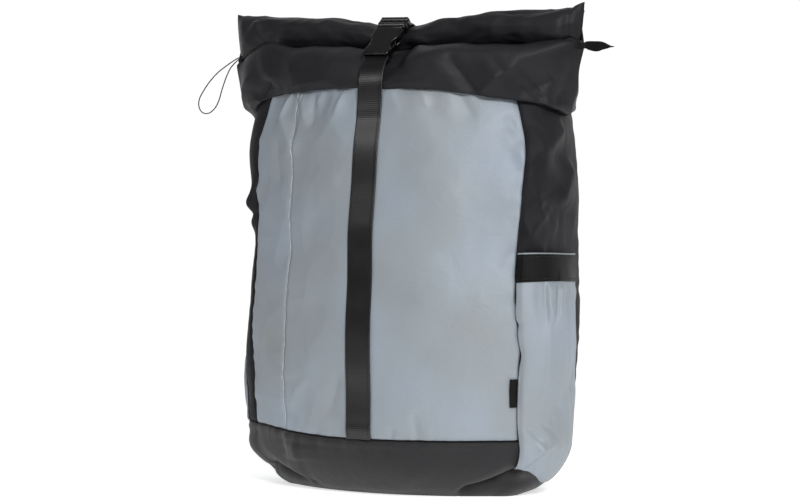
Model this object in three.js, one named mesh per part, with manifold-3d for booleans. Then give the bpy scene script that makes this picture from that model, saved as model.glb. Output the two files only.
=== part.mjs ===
// Roll-top backpack, stuffed and standing on its base.
// Millimetres. The front faces -Y, +X is on the right as seen from the front, +Z is up.
// The origin is the middle of the flat underside.
import * as THREE from "three";
import { mergeVertices } from "three/addons/utils/BufferGeometryUtils.js";
import Module from "manifold-3d";

const wasm = await Module();
wasm.setup();

// Driving sizes
const CLOTH = 2; // shell fabric with its lining
const PAD = 4; // padded back panel
const POCKET_CLOTH = 1.5;
const SEAM = 0.6; // open line between two sewn pieces
const LAY = 0.8; // air under a piece that lies on another
const BASE_SEAM = 52; // height of the seam between base and walls
const WALL_TUCK = 6; // how far the walls go up under the collar
const HIDDEN_SEAM = -0.63; // seam in the front, left of the strap, as a share of the half front
const WEBBING = 25; // width of the webbing
const WEB_THICK = 1.5;
const POCKET_BOTTOM = 14;
const BAND_BOTTOM = 193;
const BAND_TOP = 218;
const POCKET_TOP = 220;
const POCKET_BULGE = 8; // how far a pocket's mouth stands off the side
const ROLL_CLOTH = 3; // double cloth of the rolled mouth
const ROLL_SHRINK = 0.62; // share of the radius lost from the outer turn to the inner end
const ROLL_FROM = -10; // degrees, up the back of the roll
const ROLL_TO = 580;
const BUCKLE_TILT = 46; // degrees from level
const BUCKLE_AT = new THREE.Vector3(0, -15.8, 431.8);
const LOOP_CORD = 1.8; // diameter of the zip pull's cord
const FRONT_BEND = 0.7; // share of the flattened collar that comes from the front panel
const BACK_BEND = 0.78; // and from the back panel
const HEIGHTS = [52.6, 80, 108, 135, 160, 180, 193, 205, 218, 236, 252, 267, 285, 305, 325, 345];

// Wall sections. The front is an arc from edge to edge with its middle at front. Each side is a curve
// from the front edge to the back edge, drawn out by bulge_x near the front and hip_x near the back.
const body = table(
  ["z", "front", "edge_x", "edge_y", "bulge_x", "hip_x", "back_x", "back"],
  [
    [52, -81, 135, -31, 177, 150, 139, 78],
    [90, -82.5, 137, -35, 175, 154, 142.5, 79],
    [135, -82.5, 139, -38, 174, 157, 145.5, 80],
    [180, -81, 137, -38, 165, 154, 147, 80],
    [225, -78, 136, -33, 157, 154, 148, 80],
    [270, -74, 137, -32, 166, 164, 147, 80],
    [318, -67, 137, -27, 178, 158, 144.5, 79],
    [360, -58, 127, -22, 173, 150, 140, 78],
    [390, -52, 122, -19, 165, 146, 137, 77],
  ],
);

// Base: how far its outline draws in below the seam.
const base = table(
  ["z", "side", "front", "back"],
  [
    [0, 40, 37, 20],
    [5, 28, 26, 14],
    [14, 17, 15, 8],
    [26, 7, 6, 3],
    [40, 1, 1, 0.5],
    [52, 0, 0, 0],
  ],
);

// Dents and folds of the stuffed cloth: place round the bag, height, spread, and how far out of the wall.
const FOLDS = [
  { around: 1.45, z: 305, wide: 0.18, tall: 14, out: -6 },
  { around: 1.3, z: 268, wide: 0.2, tall: 12, out: 3 },
  { around: 1.62, z: 258, wide: 0.18, tall: 12, out: 3 },
  { around: -1.14, z: 267, wide: 0.12, tall: 11, out: 6 },
  { around: -1.3, z: 236, wide: 0.2, tall: 14, out: -4 },
  { around: -0.45, z: 95, wide: 0.14, tall: 26, out: -2 },
  { around: 0.7, z: 250, wide: 0.16, tall: 50, out: -2 },
  { around: -0.95, z: 30, wide: 0.14, tall: 9, out: -5 },
  { around: 0.98, z: 24, wide: 0.12, tall: 9, out: -5 },
];

// Collar, from its lip up to the ridge where it goes into the roll. flat is how far the ring has been
// squeezed from the wall's outline to a flat fold, out its distance off the wall, and flare what its ends add.
const collar = table(
  ["up", "flat", "out", "flare", "front", "back", "end_y", "half", "z_front", "z_end", "z_back", "wall", "drop", "press"],
  [
    [0, 0, 4.5, 8, -62, 84, 8, 160, 373, 351, 366, 2, 0, 0],
    [1, 0.28, 8, 12, -63, 86, 3, 182, 384, 367, 377, 2, 0.5, 0],
    [2, 0.75, 4, 12, -55, 70, 1, 183, 398, 384, 389, 2, 1.6, 7],
    [3, 1, 0, 0, -34, 45, 5, 181, 406, 399, 402, 1.5, 2.1, 8],
    [4, 1, 0, 0, 14, 14, 6, 180.5, 410, 410, 410, 0, 3.6, 0],
  ],
);

// Roll: its middle line and outer radius along the bag, drawn down where the strap crosses it.
const roll = table(
  ["x", "y", "z", "radius"],
  [
    [-172, 6, 432, 21.5],
    [-145, 5, 429.5, 20.5],
    [-110, 3, 427, 19.5],
    [-60, 1, 423, 18.5],
    [-32, 0, 419.5, 17],
    [-14, 0, 416.5, 15],
    [14, 0, 416.5, 15],
    [32, 0, 419.5, 17],
    [60, 1, 421.5, 17.5],
    [110, 2, 423, 17.5],
    [150, 4, 423.5, 17.5],
    [172, 6, 427, 19],
  ],
);

// Shoulder strap pad: its middle line on the right side, from the top seam down.
const STRAP = [
  { x: 46, y: 86, z: 316, wide: 58, thick: 8 },
  { x: 49, y: 99, z: 326, wide: 60, thick: 9 },
  { x: 55, y: 114, z: 314, wide: 62, thick: 9 },
  { x: 64, y: 122, z: 285, wide: 62, thick: 9 },
  { x: 75, y: 122, z: 240, wide: 58, thick: 9 },
  { x: 86, y: 115, z: 195, wide: 50, thick: 9 },
  { x: 93, y: 109, z: 165, wide: 40, thick: 8 },
];

// Lower webbing of a shoulder strap, from the ladder lock to the seam above the base.
const LOWER_WEB = [
  { x: 95.4, y: 106.9, z: 154, wide: 20, thick: 1.6 },
  { x: 97.4, y: 105.2, z: 145.4, wide: 20, thick: 1.6 },
  { x: 101.5, y: 101, z: 128, wide: 20, thick: 1.6 },
  { x: 112, y: 93, z: 96, wide: 20, thick: 1.6 },
  { x: 122, y: 85, z: 72, wide: 20, thick: 1.6 },
  { x: 125, y: 81.6, z: 60, wide: 20, thick: 1.6 },
];

// Zip pull: one cord out from the left end of the roll, down, and back.
const LOOP = [
  [-182.4, 3, 411.5],
  [-190, 2, 405.5],
  [-201, 1, 397],
  [-211, 1, 388],
  [-219, 2, 379],
  [-224, 3, 372],
  [-225.5, 4, 365.5],
  [-223.5, 5, 359.8],
  [-219, 6, 357.4],
  [-213.5, 7, 358.6],
  [-208, 8, 364],
  [-204.5, 8.5, 371],
  [-202, 8.5, 378.5],
  [-199, 8.5, 386.5],
  [-195, 8.2, 395],
  [-190, 7.8, 402.5],
  [-182.4, 7.5, 407.5],
];

// Outline of the zip's end tab at the right end of the roll, in X and Z.
const TAB = [
  [183, 407],
  [186, 406.5],
  [189, 408.5],
  [201, 408.5],
  [212, 402.5],
  [201, 398.5],
  [192, 400],
  [186, 403],
  [183, 404],
];

// Table lookup: every column of a table at a key, smooth between its rows.
function table(columns, rows) {
  const keys = rows.map((row) => row[0]);
  const values = rows.flatMap((row) => row.slice(1));
  const curve = new THREE.CubicInterpolant(keys, values, columns.length - 1);
  return (key) => {
    const found = curve.evaluate(THREE.MathUtils.clamp(key, keys[0], keys.at(-1)));
    return Object.fromEntries(columns.slice(1).map((name, i) => [name, found[i]]));
  };
}

function steps(from, to, count) {
  return Array.from({ length: count + 1 }, (_, i) => from + ((to - from) * i) / count);
}

// Wall outline at a height. around is 0 at the middle of the front, 1 at the front edge, 2 at the back
// edge and 3 at the middle of the back, negative on the left.
function section(around, z) {
  const row = body(z);
  const side = around < 0 ? -1 : 1;
  const t = Math.abs(around);
  if (t <= 1) {
    const sag = row.edge_y - row.front;
    const radius = (row.edge_x ** 2 + sag ** 2) / (2 * sag);
    const angle = t * Math.asin(row.edge_x / radius);
    return new THREE.Vector2(side * radius * Math.sin(angle), row.front + radius * (1 - Math.cos(angle)));
  }
  if (t <= 2) {
    const curve = new THREE.CubicBezierCurve(
      new THREE.Vector2(row.edge_x, row.edge_y),
      new THREE.Vector2(row.bulge_x, row.edge_y + 17),
      new THREE.Vector2(row.hip_x, row.back - 35),
      new THREE.Vector2(row.back_x, row.back),
    );
    const p = curve.getPoint(t - 1);
    return new THREE.Vector2(side * p.x, p.y);
  }
  return new THREE.Vector2(side * row.back_x * (3 - t), row.back);
}

// Outside of walls and base without folds: below the seam the outline draws in as the base table says.
function smoothSkin(around, z) {
  const turned = around > 3 ? around - 6 : around < -3 ? around + 6 : around;
  const p = section(turned, Math.max(z, BASE_SEAM));
  const inset = base(Math.min(z, BASE_SEAM));
  const deep = p.y > 0 ? inset.back / 80 : inset.front / 82;
  return new THREE.Vector3(p.x * (1 - inset.side / 160), p.y * (1 - deep), z);
}

function skinNormal(around, z) {
  const along = smoothSkin(around + 0.03, z).sub(smoothSkin(around - 0.03, z));
  const low = Math.max(z - 1, 0);
  const up = smoothSkin(around, z + 1).sub(smoothSkin(around, low));
  return along.cross(up).normalize();
}

// Outside of walls and base with folds, raised by a distance along its normal.
function skin(around, z, raise = 0) {
  const fold = FOLDS.reduce((sum, f) => {
    const a = (around - f.around) / f.wide;
    const h = (z - f.z) / f.tall;
    return sum + f.out * Math.exp(-a * a - h * h);
  }, 0);
  return smoothSkin(around, z).addScaledVector(skinNormal(around, z), raise + fold);
}

// Closed surface from points and triangles, faces turned outwards.
function closedSurface(points, index) {
  const volume = index.reduce((sum, _, i) => {
    if (i % 3) return sum;
    const [a, b, c] = [points[index[i]], points[index[i + 1]], points[index[i + 2]]];
    return sum + a.dot(b.clone().cross(c));
  }, 0);
  const turned = volume < 0 ? [...index].reverse() : index;
  const geometry = new THREE.BufferGeometry().setFromPoints(points).setIndex(turned);
  return mergeVertices(geometry, 1e-4);
}

// Sheet with an outer and an inner grid of points. closed joins its last column to its first. A floor
// closes the first row with a fan to its middle, and folded leaves the last row to meet itself.
function shell(outer, inner, { closed = false, floor = null, folded = false } = {}) {
  const rows = outer.length;
  const columns = outer[0].length;
  const points = [...outer.flat(), ...inner.flat()];
  const at = (layer, row, column) => (layer * rows + row) * columns + (column % columns);
  const index = [];
  const quad = (a, b, c, d) => index.push(a, b, c, a, c, d);
  const last = closed ? columns : columns - 1;
  for (let r = 0; r < rows - 1; r++) {
    for (let c = 0; c < last; c++) {
      quad(at(0, r, c), at(0, r, c + 1), at(0, r + 1, c + 1), at(0, r + 1, c));
      quad(at(1, r, c), at(1, r + 1, c), at(1, r + 1, c + 1), at(1, r, c + 1));
    }
    if (!closed) {
      quad(at(1, r, 0), at(0, r, 0), at(0, r + 1, 0), at(1, r + 1, 0));
      quad(at(0, r, last), at(1, r, last), at(1, r + 1, last), at(0, r + 1, last));
    }
  }
  for (let c = 0; c < last; c++) {
    if (floor) {
      index.push(points.length, at(0, 0, c + 1), at(0, 0, c));
      index.push(points.length + 1, at(1, 0, c), at(1, 0, c + 1));
    } else {
      quad(at(1, 0, c), at(1, 0, c + 1), at(0, 0, c + 1), at(0, 0, c));
    }
    if (!folded) {
      quad(at(0, rows - 1, c), at(0, rows - 1, c + 1), at(1, rows - 1, c + 1), at(1, rows - 1, c));
    }
  }
  return closedSurface(floor ? [...points, ...floor] : points, index);
}

// Share of the way from the middle of the front or back to the end fold of the collar.
function reachAt(around) {
  const t = Math.abs(around);
  const near = t <= 1.5 ? t : 3 - t;
  const bend = t <= 1.5 ? FRONT_BEND : BACK_BEND;
  return near <= 1 ? bend * near : bend + (1 - bend) * 2 * (near - 1);
}

// How far a collar ring has come down from its middle height to its end height.
function fallAt(side, front, reach) {
  return reach ** (front && side < 0 ? 4 : 2);
}

function wallTop(around) {
  const lip = collar(0);
  const front = Math.abs(around) <= 1.5;
  const fall = fallAt(Math.sign(around), front, reachAt(around));
  return THREE.MathUtils.lerp(front ? lip.z_front : lip.z_back, lip.z_end, fall) + WALL_TUCK;
}

// Wall panel between two places round the bag. Its two top rows follow the collar's lip.
function panel(from, to, columns, thick) {
  const places = steps(from, to, columns);
  const layer = (raise) => [
    ...HEIGHTS.map((z) => places.map((a) => skin(a, z, raise))),
    ...[0.5, 1].map((t) => {
      const last = HEIGHTS.at(-1);
      return places.map((a) => skin(a, THREE.MathUtils.lerp(last, wallTop(a), t), raise));
    }),
  ];
  return shell(layer(0), layer(-thick));
}

// Flat band along a 3-D line of stations, its width held level in X.
function band(stations, crown = 0) {
  const across = [-1, -0.6, 0, 0.6, 1];
  const layer = (side) =>
    stations.map((s, i) => {
      const before = stations[Math.max(i - 1, 0)];
      const after = stations[Math.min(i + 1, stations.length - 1)];
      const along = new THREE.Vector3(after.x - before.x, after.y - before.y, after.z - before.z).normalize();
      const level = new THREE.Vector3(1, 0, 0).addScaledVector(along, -along.x).normalize();
      const normal = level.clone().cross(along);
      return across.map((c) => {
        const half = (side * s.thick * (1 - crown * c ** 4)) / 2;
        return new THREE.Vector3(s.x, s.y, s.z)
          .addScaledVector(level, (c * s.wide) / 2)
          .addScaledVector(normal, half);
      });
    });
  return shell(layer(1), layer(-1));
}

// Webbing along a line in the Y-Z plane. The line is its underside, and its top is on the line's left.
function webbing(line) {
  const points = line.map(([y, z]) => new THREE.Vector2(y, z));
  const top = points.map((p, i) => {
    const before = points[Math.max(i - 1, 0)];
    const after = points[Math.min(i + 1, points.length - 1)];
    const along = after.clone().sub(before).normalize();
    return new THREE.Vector2(p.x - along.y * WEB_THICK, p.y + along.x * WEB_THICK);
  });
  const shape = new THREE.Shape([...points, ...top.reverse()]);
  const geometry = new THREE.ExtrudeGeometry(shape, { depth: WEBBING, bevelEnabled: false });
  const turn = new THREE.Matrix4().makeBasis(
    new THREE.Vector3(0, 1, 0),
    new THREE.Vector3(0, 0, 1),
    new THREE.Vector3(1, 0, 0),
  );
  return geometry.translate(0, 0, -WEBBING / 2).applyMatrix4(turn);
}

// Joining and cutting
function solid(geometry) {
  const bare = new THREE.BufferGeometry().setAttribute("position", geometry.getAttribute("position"));
  if (geometry.index) bare.setIndex(geometry.index);
  const merged = mergeVertices(bare, 1e-4);
  return new wasm.Manifold(
    new wasm.Mesh({
      numProp: 3,
      vertProperties: new Float32Array(merged.getAttribute("position").array),
      triVerts: new Uint32Array(merged.index.array),
    }),
  );
}

function fromSolid(made) {
  const mesh = made.getMesh();
  return new THREE.BufferGeometry()
    .setAttribute("position", new THREE.BufferAttribute(mesh.vertProperties, 3))
    .setIndex(new THREE.BufferAttribute(mesh.triVerts, 1));
}

function block(x0, x1, y0, y1, z0, z1) {
  const box = new THREE.BoxGeometry(x1 - x0, y1 - y0, z1 - z0);
  return solid(box.translate((x0 + x1) / 2, (y0 + y1) / 2, (z0 + z1) / 2));
}

// Plate with rounded corners in X-Y, from z0 to z1.
function plate(outline, z0, z1) {
  const shape = new THREE.Shape(outline.map(([x, y]) => new THREE.Vector2(x, y)));
  const geometry = new THREE.ExtrudeGeometry(shape, { depth: z1 - z0, bevelEnabled: false });
  return solid(geometry.translate(0, 0, z0));
}

// Rectangle whose corners are cut off.
function chamfered(x0, x1, y0, y1, cut) {
  return [
    [x0 + cut, y0],
    [x1 - cut, y0],
    [x1, y0 + cut],
    [x1, y1 - cut],
    [x1 - cut, y1],
    [x0 + cut, y1],
    [x0, y1 - cut],
    [x0, y0 + cut],
  ];
}

// Materials: colour, roughness, metalness
const GREY_CLOTH = [0x9aa3ad, 0.45, 0];
const BLACK_CLOTH = [0x343436, 0.8, 0];
const BASE_CLOTH = [0x444446, 0.85, 0];
const WEB = [0x2c2c2d, 0.75, 0];
const PLASTIC = [0x1b1b1b, 0.35, 0];
const CORD = [0x2a2a2b, 0.7, 0];

const backpack = new THREE.Group();
backpack.name = "backpack";

function add(name, geometry, [color, roughness, metalness], parent = backpack) {
  const mesh = new THREE.Mesh(geometry, new THREE.MeshStandardMaterial({ color, roughness, metalness }));
  mesh.name = name;
  parent.add(mesh);
  return mesh;
}

// Walls
const slit = 0.004; // half a seam, as a share of the half front
const side = 0.005; // half a seam, as a share of a side
add("front_panel", panel(HIDDEN_SEAM + slit, 1 - slit, 14, CLOTH), GREY_CLOTH);
add("front_side_panel", panel(-1 + slit, HIDDEN_SEAM - slit, 5, CLOTH), GREY_CLOTH);
add("right_gusset", panel(1 + side, 2 - side, 10, CLOTH), BLACK_CLOTH);
add("left_gusset", panel(-2 + side, -1 - side, 10, CLOTH), BLACK_CLOTH);

// Back panel: its inner edge stops short of the gussets, so the pad keeps clear of them
const backHeights = [52.6, 135, 225, 318, 345, 362];
const backLayer = (depth, edge) =>
  backHeights.map((z) =>
    steps(2 + edge, 4 - edge, 4).map((t) => {
      const row = body(z);
      return new THREE.Vector3(row.back_x * (3 - t), row.back - depth, z);
    }),
  );
add("back_panel", shell(backLayer(0, 0.006), backLayer(PAD, 0.05)), BLACK_CLOTH);

// Base: a pan with a flat floor
const ring = [
  ...steps(-3, -2, 4).slice(0, -1),
  ...steps(-2, -1, 9).slice(0, -1),
  ...steps(-1, 1, 16).slice(0, -1),
  ...steps(1, 2, 9).slice(0, -1),
  ...steps(2, 3, 4).slice(0, -1),
];
const baseHeights = [0, 3, 8, 15, 24, 34, 44, 52];
const baseOuter = baseHeights.map((z) => ring.map((a) => (z ? skin(a, z) : smoothSkin(a, 0))));
const baseInner = baseHeights.map((z, i) =>
  ring.map((a, j) => {
    const p = baseOuter[i][j].clone().addScaledVector(skinNormal(a, z), -CLOTH);
    const shrunk = smoothSkin(a, 0).multiplyScalar(0.985);
    return z ? p.setZ(Math.max(p.z, CLOTH + 0.2 * z)) : shrunk.setZ(CLOTH);
  }),
);
baseInner.at(-1).forEach((p) => p.setZ(BASE_SEAM));
const floor = [new THREE.Vector3(0, 0, 0), new THREE.Vector3(0, 0, CLOTH)];
add("base", shell(baseOuter, baseInner, { closed: true, floor }), BASE_CLOTH);

// Collar and roll, one cloth
const reaches = [0, 0.08, 0.17, 0.26, 0.36, 0.46, 0.57, FRONT_BEND, BACK_BEND, 0.86, 0.94, 1];
const collarRing = [
  ...reaches.slice(0, -1).map((reach) => ({ side: -1, front: false, reach })),
  ...reaches.slice(1).reverse().map((reach) => ({ side: -1, front: true, reach })),
  ...reaches.slice(0, -1).map((reach) => ({ side: 1, front: true, reach })),
  ...reaches.slice(1).reverse().map((reach) => ({ side: 1, front: false, reach })),
];

// Point of the collar: reach is 0 at the middle of a layer and 1 at the end fold.
function collarPoint({ side, front, reach }, up, lining = false) {
  const row = collar(up);
  const bend = front ? FRONT_BEND : BACK_BEND;
  const near = reach < bend ? reach / bend : 1 + (0.5 * (reach - bend)) / (1 - bend);
  const around = side * (front ? near : 3 - near);
  const half = row.half - (lining ? 4 : 0);
  const fall = fallAt(side, front, reach);
  const pressed = front ? row.press * Math.exp(-(((half * reach) / 30) ** 2)) : 0;
  const middle = (front ? row.z_front : row.z_back) - pressed;
  const z = THREE.MathUtils.lerp(middle, row.z_end, fall) - (lining ? row.drop : 0);
  const wall = lining ? row.wall : 0;
  const off = row.out - wall + row.flare * reach ** 6;
  const onWall = smoothSkin(around, z).addScaledVector(skinNormal(around, z), off);
  const y = front ? row.front + wall : row.back - wall;
  const curl = reach ** (front ? 3 : 5 - up / 2);
  const flat = new THREE.Vector3(side * half * reach, THREE.MathUtils.lerp(y, row.end_y, curl), z);
  return onWall.lerp(flat, row.flat);
}

const collarRows = [0, 0.5, 1, 1.5, 2, 2.5, 3, 4];
const collarLayer = (lining) => collarRows.map((up) => collarRing.map((place) => collarPoint(place, up, lining)));
const collarSolid = solid(shell(collarLayer(false), collarLayer(true), { closed: true, folded: true }));

// Line of the rolled cloth at a station: from the ridge up the back, over the top and round inside itself.
function rollPoint(x, angle, raise = 0) {
  const row = roll(x);
  const turn = THREE.MathUtils.degToRad(angle);
  const radius = row.radius * (1 - (ROLL_SHRINK * (angle - ROLL_FROM)) / (ROLL_TO - ROLL_FROM)) + raise;
  return new THREE.Vector2(row.y + radius * Math.cos(turn), row.z + radius * Math.sin(turn));
}

const stations = [172, 155, 135, 105, 60, 44, 30, 14, -14, -30, -44, -60, -95, -120, -145, -160, -172];
const rollLines = stations.map((x) => {
  const { front, end_y, half, z_front } = collar(4);
  const ridge = new THREE.Vector2(THREE.MathUtils.lerp(front, end_y, Math.abs(x / half) ** 3), z_front - 1.6);
  return [ridge, ...steps(ROLL_FROM, ROLL_TO, 21).map((angle) => rollPoint(x, angle))];
});
const rollLayer = (side) =>
  rollLines[0].map((_, i) =>
    rollLines.map((line, j) => {
      const along = line[Math.min(i + 1, line.length - 1)].clone().sub(line[Math.max(i - 1, 0)]).normalize();
      const half = (side * ROLL_CLOTH) / 2;
      return new THREE.Vector3(stations[j], line[i].x + along.y * half, line[i].y - along.x * half);
    }),
  );
const rollSolid = solid(shell(rollLayer(1), rollLayer(-1)));
add("roll_top", fromSolid(collarSolid.add(rollSolid)), BLACK_CLOTH);

// Straps in the middle: up the front and over the collar into the buckle, and from the buckle over the roll
const tilt = THREE.MathUtils.degToRad(BUCKLE_TILT);
const alongBuckle = (along, out) => [
  BUCKLE_AT.y + along * Math.cos(tilt) - out * Math.sin(tilt),
  BUCKLE_AT.z + along * Math.sin(tilt) + out * Math.cos(tilt),
];
const frontMiddle = { side: 1, front: true, reach: 0 };
const backMiddle = { side: 1, front: false, reach: 0 };
const frontLine = [
  ...HEIGHTS.map((z) => [skin(0, z).y - LAY, z]),
  [skin(0, 358).y - LAY, 358],
  [collarPoint(frontMiddle, 0).y - 0.9, 368],
  ...[0.4, 1, 1.4].map((up) => {
    const p = collarPoint(frontMiddle, up);
    return [p.y - 1, p.z + 0.3 * up];
  }),
  alongBuckle(-46, -1.2),
  alongBuckle(-38, -1.2),
];
add("front_strap", webbing(frontLine), WEB);

const backLine = [
  alongBuckle(2, -1.2),
  alongBuckle(9, -1.2),
  ...steps(105, 5, 5).map((angle) => rollPoint(14, angle, ROLL_CLOTH / 2 + 1).toArray()),
  ...[3.4, 3, 2.5, 2, 1.5, 1, 0.5].map((up) => {
    const p = collarPoint(backMiddle, up);
    return [p.y + 1, p.z + 1];
  }),
  [body(366).back + 5.6, 366],
  [body(360).back + 4.4, 358],
  [body(350).back + LAY, 350],
  [body(330).back + LAY, 330],
];
add("back_strap", webbing(backLine), WEB);

// Buckle: along +Y from the mouth of the socket to the bars of the plug, outwards +Z
const buckle = new THREE.Group();
buckle.position.copy(BUCKLE_AT);
buckle.rotation.x = tilt;
backpack.add(buckle);
const socket = plate(chamfered(-14.5, 14.5, -44, -8, 3), -4.5, 4.5)
  .subtract(block(-12.2, 12.2, -33, 0, -2.4, 2.4))
  .subtract(block(-16, 16, -28, -15, -2.4, 2.4))
  .subtract(block(-13, 13, -46, -37, -1.9, 1));
add("buckle_female", fromSolid(socket), PLASTIC, buckle);
const plug = plate(chamfered(-14.5, 14.5, -7.6, 8, 2), -4, 4)
  .subtract(block(-13, 13, 0.8, 3.6, -6, 6))
  .subtract(block(-13, 13, 1, 10, -2, 1))
  .add(block(-2.5, 2.5, -30, -7, -2, 2))
  .add(block(6.5, 11.7, -22, -7, -2, 2))
  .add(block(-11.7, -6.5, -22, -7, -2, 2))
  .add(block(6.5, 14.3, -27.4, -21, -2, 2))
  .add(block(-14.3, -6.5, -27.4, -21, -2, 2));
add("buckle_male", fromSolid(plug), PLASTIC, buckle);

// Side pockets: each stands off the side most at its mouth. Its front edge runs from low to high round the bag.
function pocketLayer({ low, high, back }, levels, raise) {
  return levels.map((z) => {
    const front = THREE.MathUtils.lerp(low, high, THREE.MathUtils.smoothstep(z, 85, 150));
    const open = THREE.MathUtils.smoothstep(z, 30, BAND_BOTTOM);
    return steps(0, 1, 10).map((t) => {
      const bulge = POCKET_BULGE * open * Math.sin(Math.PI * t ** 0.75);
      return skin(THREE.MathUtils.lerp(front, back, t), z, LAY + bulge + raise);
    });
  });
}
const pocketLevels = [POCKET_BOTTOM, 19, 24, 34, 44, 54, 80, 108, 135, 160, 180, 193, 205, 218, POCKET_TOP];
const bandLevels = [BAND_BOTTOM, 205, BAND_TOP];
const pockets = [
  { name: "right_pocket", low: 1.02, high: 1.02, back: 1.88 },
  { name: "left_pocket", low: -1.17, high: -1.38, back: -1.88 },
];
for (const pocket of pockets) {
  const layer = (levels, raise) => pocketLayer(pocket, levels, raise);
  add(pocket.name, shell(layer(pocketLevels, POCKET_CLOTH), layer(pocketLevels, 0)), GREY_CLOTH);
  const under = POCKET_CLOTH + 0.4;
  add(pocket.name + "_band", shell(layer(bandLevels, under + 1.4), layer(bandLevels, under)), WEB);
}

// Plain tab in the right front seam
const tabLayer = (raise) => [83, 95, 108].map((z) => [0.935, 0.965, 0.992].map((a) => skin(a, z, raise)));
add("side_label", shell(tabLayer(1.7), tabLayer(0.7)), WEB);

// Zip pull and end tab
const loopPath = new THREE.CatmullRomCurve3(LOOP.map(([x, y, z]) => new THREE.Vector3(x, y, z)));
const cordSection = new THREE.Shape(
  steps(0, 7, 7).map((i) => {
    const turn = (Math.PI * i) / 4;
    return new THREE.Vector2((LOOP_CORD / 2) * Math.cos(turn), (LOOP_CORD / 2) * Math.sin(turn));
  }),
);
const loop = new THREE.ExtrudeGeometry(cordSection, { steps: 36, extrudePath: loopPath, bevelEnabled: false });
add("zip_pull_loop", loop, CORD);
const tab = new THREE.ExtrudeGeometry(new THREE.Shape(TAB.map(([x, z]) => new THREE.Vector2(x, z))), {
  depth: 1.6,
  bevelEnabled: false,
});
add("zip_end_tab", tab.rotateX(Math.PI / 2).translate(0, 7, 0), CORD);

// Shoulder straps, hidden behind the bag in the picture
for (const [name, mirror] of [["right", 1], ["left", -1]]) {
  const turned = (rows) => rows.map((s) => ({ ...s, x: mirror * s.x }));
  const line = new THREE.CatmullRomCurve3(STRAP.map((s) => new THREE.Vector3(s.x, s.y, s.z)));
  const size = table(["at", "wide", "thick"], STRAP.map((s, i) => [i / (STRAP.length - 1), s.wide, s.thick]));
  const pad = steps(0, 1, 18).map((t) => ({ ...line.getPoint(t), ...size(t) }));
  add(name + "_shoulder_strap", band(turned(pad), 0.45), BLACK_CLOTH);
  add(name + "_lower_webbing", band(turned(LOWER_WEB)), WEB);
  const lock = new THREE.Group();
  lock.position.set(mirror * 94.9, 107.4, 156.2);
  lock.rotation.set(-0.2, -mirror * 0.22, 0);
  backpack.add(lock);
  const bars = block(-13, 13, -3, 3, -8, 6.6).subtract(block(-11, 11, -1.7, 1.5, -9, -1));
  add(name + "_ladder_lock", fromSolid(bars), PLASTIC, lock);
}

// Grab loop at the top of the back
const loopLine = steps(-1, 1, 16).map((t) => {
  const rise = 27 * Math.cos((t * Math.PI) / 2) ** 0.8;
  return new THREE.Vector2(40 * t, 81 + rise);
});
const loopLayer = (depth) =>
  [340, 360].map((z) => loopLine.map((p) => new THREE.Vector3(p.x, p.y + depth, z)));
add("grab_loop", shell(loopLayer(0), loopLayer(2)), WEB);

export default backpack;
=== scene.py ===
import math

import bmesh
import bpy
import numpy as np
from mathutils import Matrix, Vector


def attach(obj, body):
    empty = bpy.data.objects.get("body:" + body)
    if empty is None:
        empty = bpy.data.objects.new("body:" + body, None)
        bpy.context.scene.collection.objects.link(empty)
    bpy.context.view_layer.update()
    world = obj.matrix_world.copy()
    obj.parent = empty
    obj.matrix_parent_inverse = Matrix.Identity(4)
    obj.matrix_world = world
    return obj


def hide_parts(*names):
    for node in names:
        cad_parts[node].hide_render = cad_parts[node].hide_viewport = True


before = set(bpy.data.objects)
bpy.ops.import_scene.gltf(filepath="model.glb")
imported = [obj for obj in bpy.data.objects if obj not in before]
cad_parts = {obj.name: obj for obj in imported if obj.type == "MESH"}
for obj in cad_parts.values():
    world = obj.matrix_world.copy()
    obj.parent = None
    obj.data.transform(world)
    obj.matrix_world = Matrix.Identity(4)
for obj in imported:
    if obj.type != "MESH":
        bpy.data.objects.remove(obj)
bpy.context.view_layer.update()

# A stuffed roll-top backpack standing on its base, dressed in its cloth, webbing and fittings.
# Lengths are millimetres in the shape functions, and MM turns them into Blender's metres.
# A place round the bag is 0 in the middle of the front, 1 at the front's right edge, 2 at the back's
# right edge and 3 in the middle of the back. Places on the left are negative.
MM = 0.001

# Camera, from the bag's outline in the picture
IMAGE_WIDE = 800
SENSOR = 36
PIXELS_PER_MM = 1.07  # at the bag's middle
CAMERA_AWAY = 1800
CAMERA_TURN = math.radians(27)
CAMERA_HEIGHT = 221

# Driving sizes, as in the part's source
BASE_SEAM = 52
WALL_TUCK = 6
CLOTH, POCKET_CLOTH = 1.4, 1.2
WEBBING, WEB_THICK = 25, 1.5
LOWER_WEBBING, LOWER_THICK = 20, 1.6
BAND_BOTTOM, BAND_TOP = 193, 218
POCKET_BOTTOM, POCKET_TOP = 14, 220
POCKET_BULGE = 8
POCKET_BACK = 1.88  # place of both pockets' back edges
LEFT_POCKET_LOW, LEFT_POCKET_HIGH = -1.17, -1.38  # places of the left pocket's front edge
FRONT_BEND, BACK_BEND = 0.7, 0.78
FRONT_ARC, SIDE_ARC, BACK_ARC = 147, 128, 143
HALF_WIDE, FRONT_DEEP, BACK_DEEP = 160, 82, 80
COLLAR_HALF, COLLAR_STEP = 182, 16
RIDGE_HALF, RIDGE_HEIGHT = 180.5, 406.5
ROLL_FROM, ROLL_TO = -10, 580
ROLL_SHRINK = 0.62
ROLL_ARC = 0.3  # length of cloth for each degree of the roll's turn
ROLL_END_LEFT, ROLL_END_RIGHT = -181, 182
BUCKLE_TILT, BUCKLE_LEAN = math.radians(46), math.radians(4)
BUCKLE_Y, BUCKLE_Z = -15.8, 431.8
LOOP_CORD = 1.8
LABEL_LEFT, LABEL_RIGHT = 0.935, 0.995
LABEL_BOTTOM, LABEL_TOP = 83, 108
BACK_TOP, BACK_PAD = 364, 9
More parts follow.
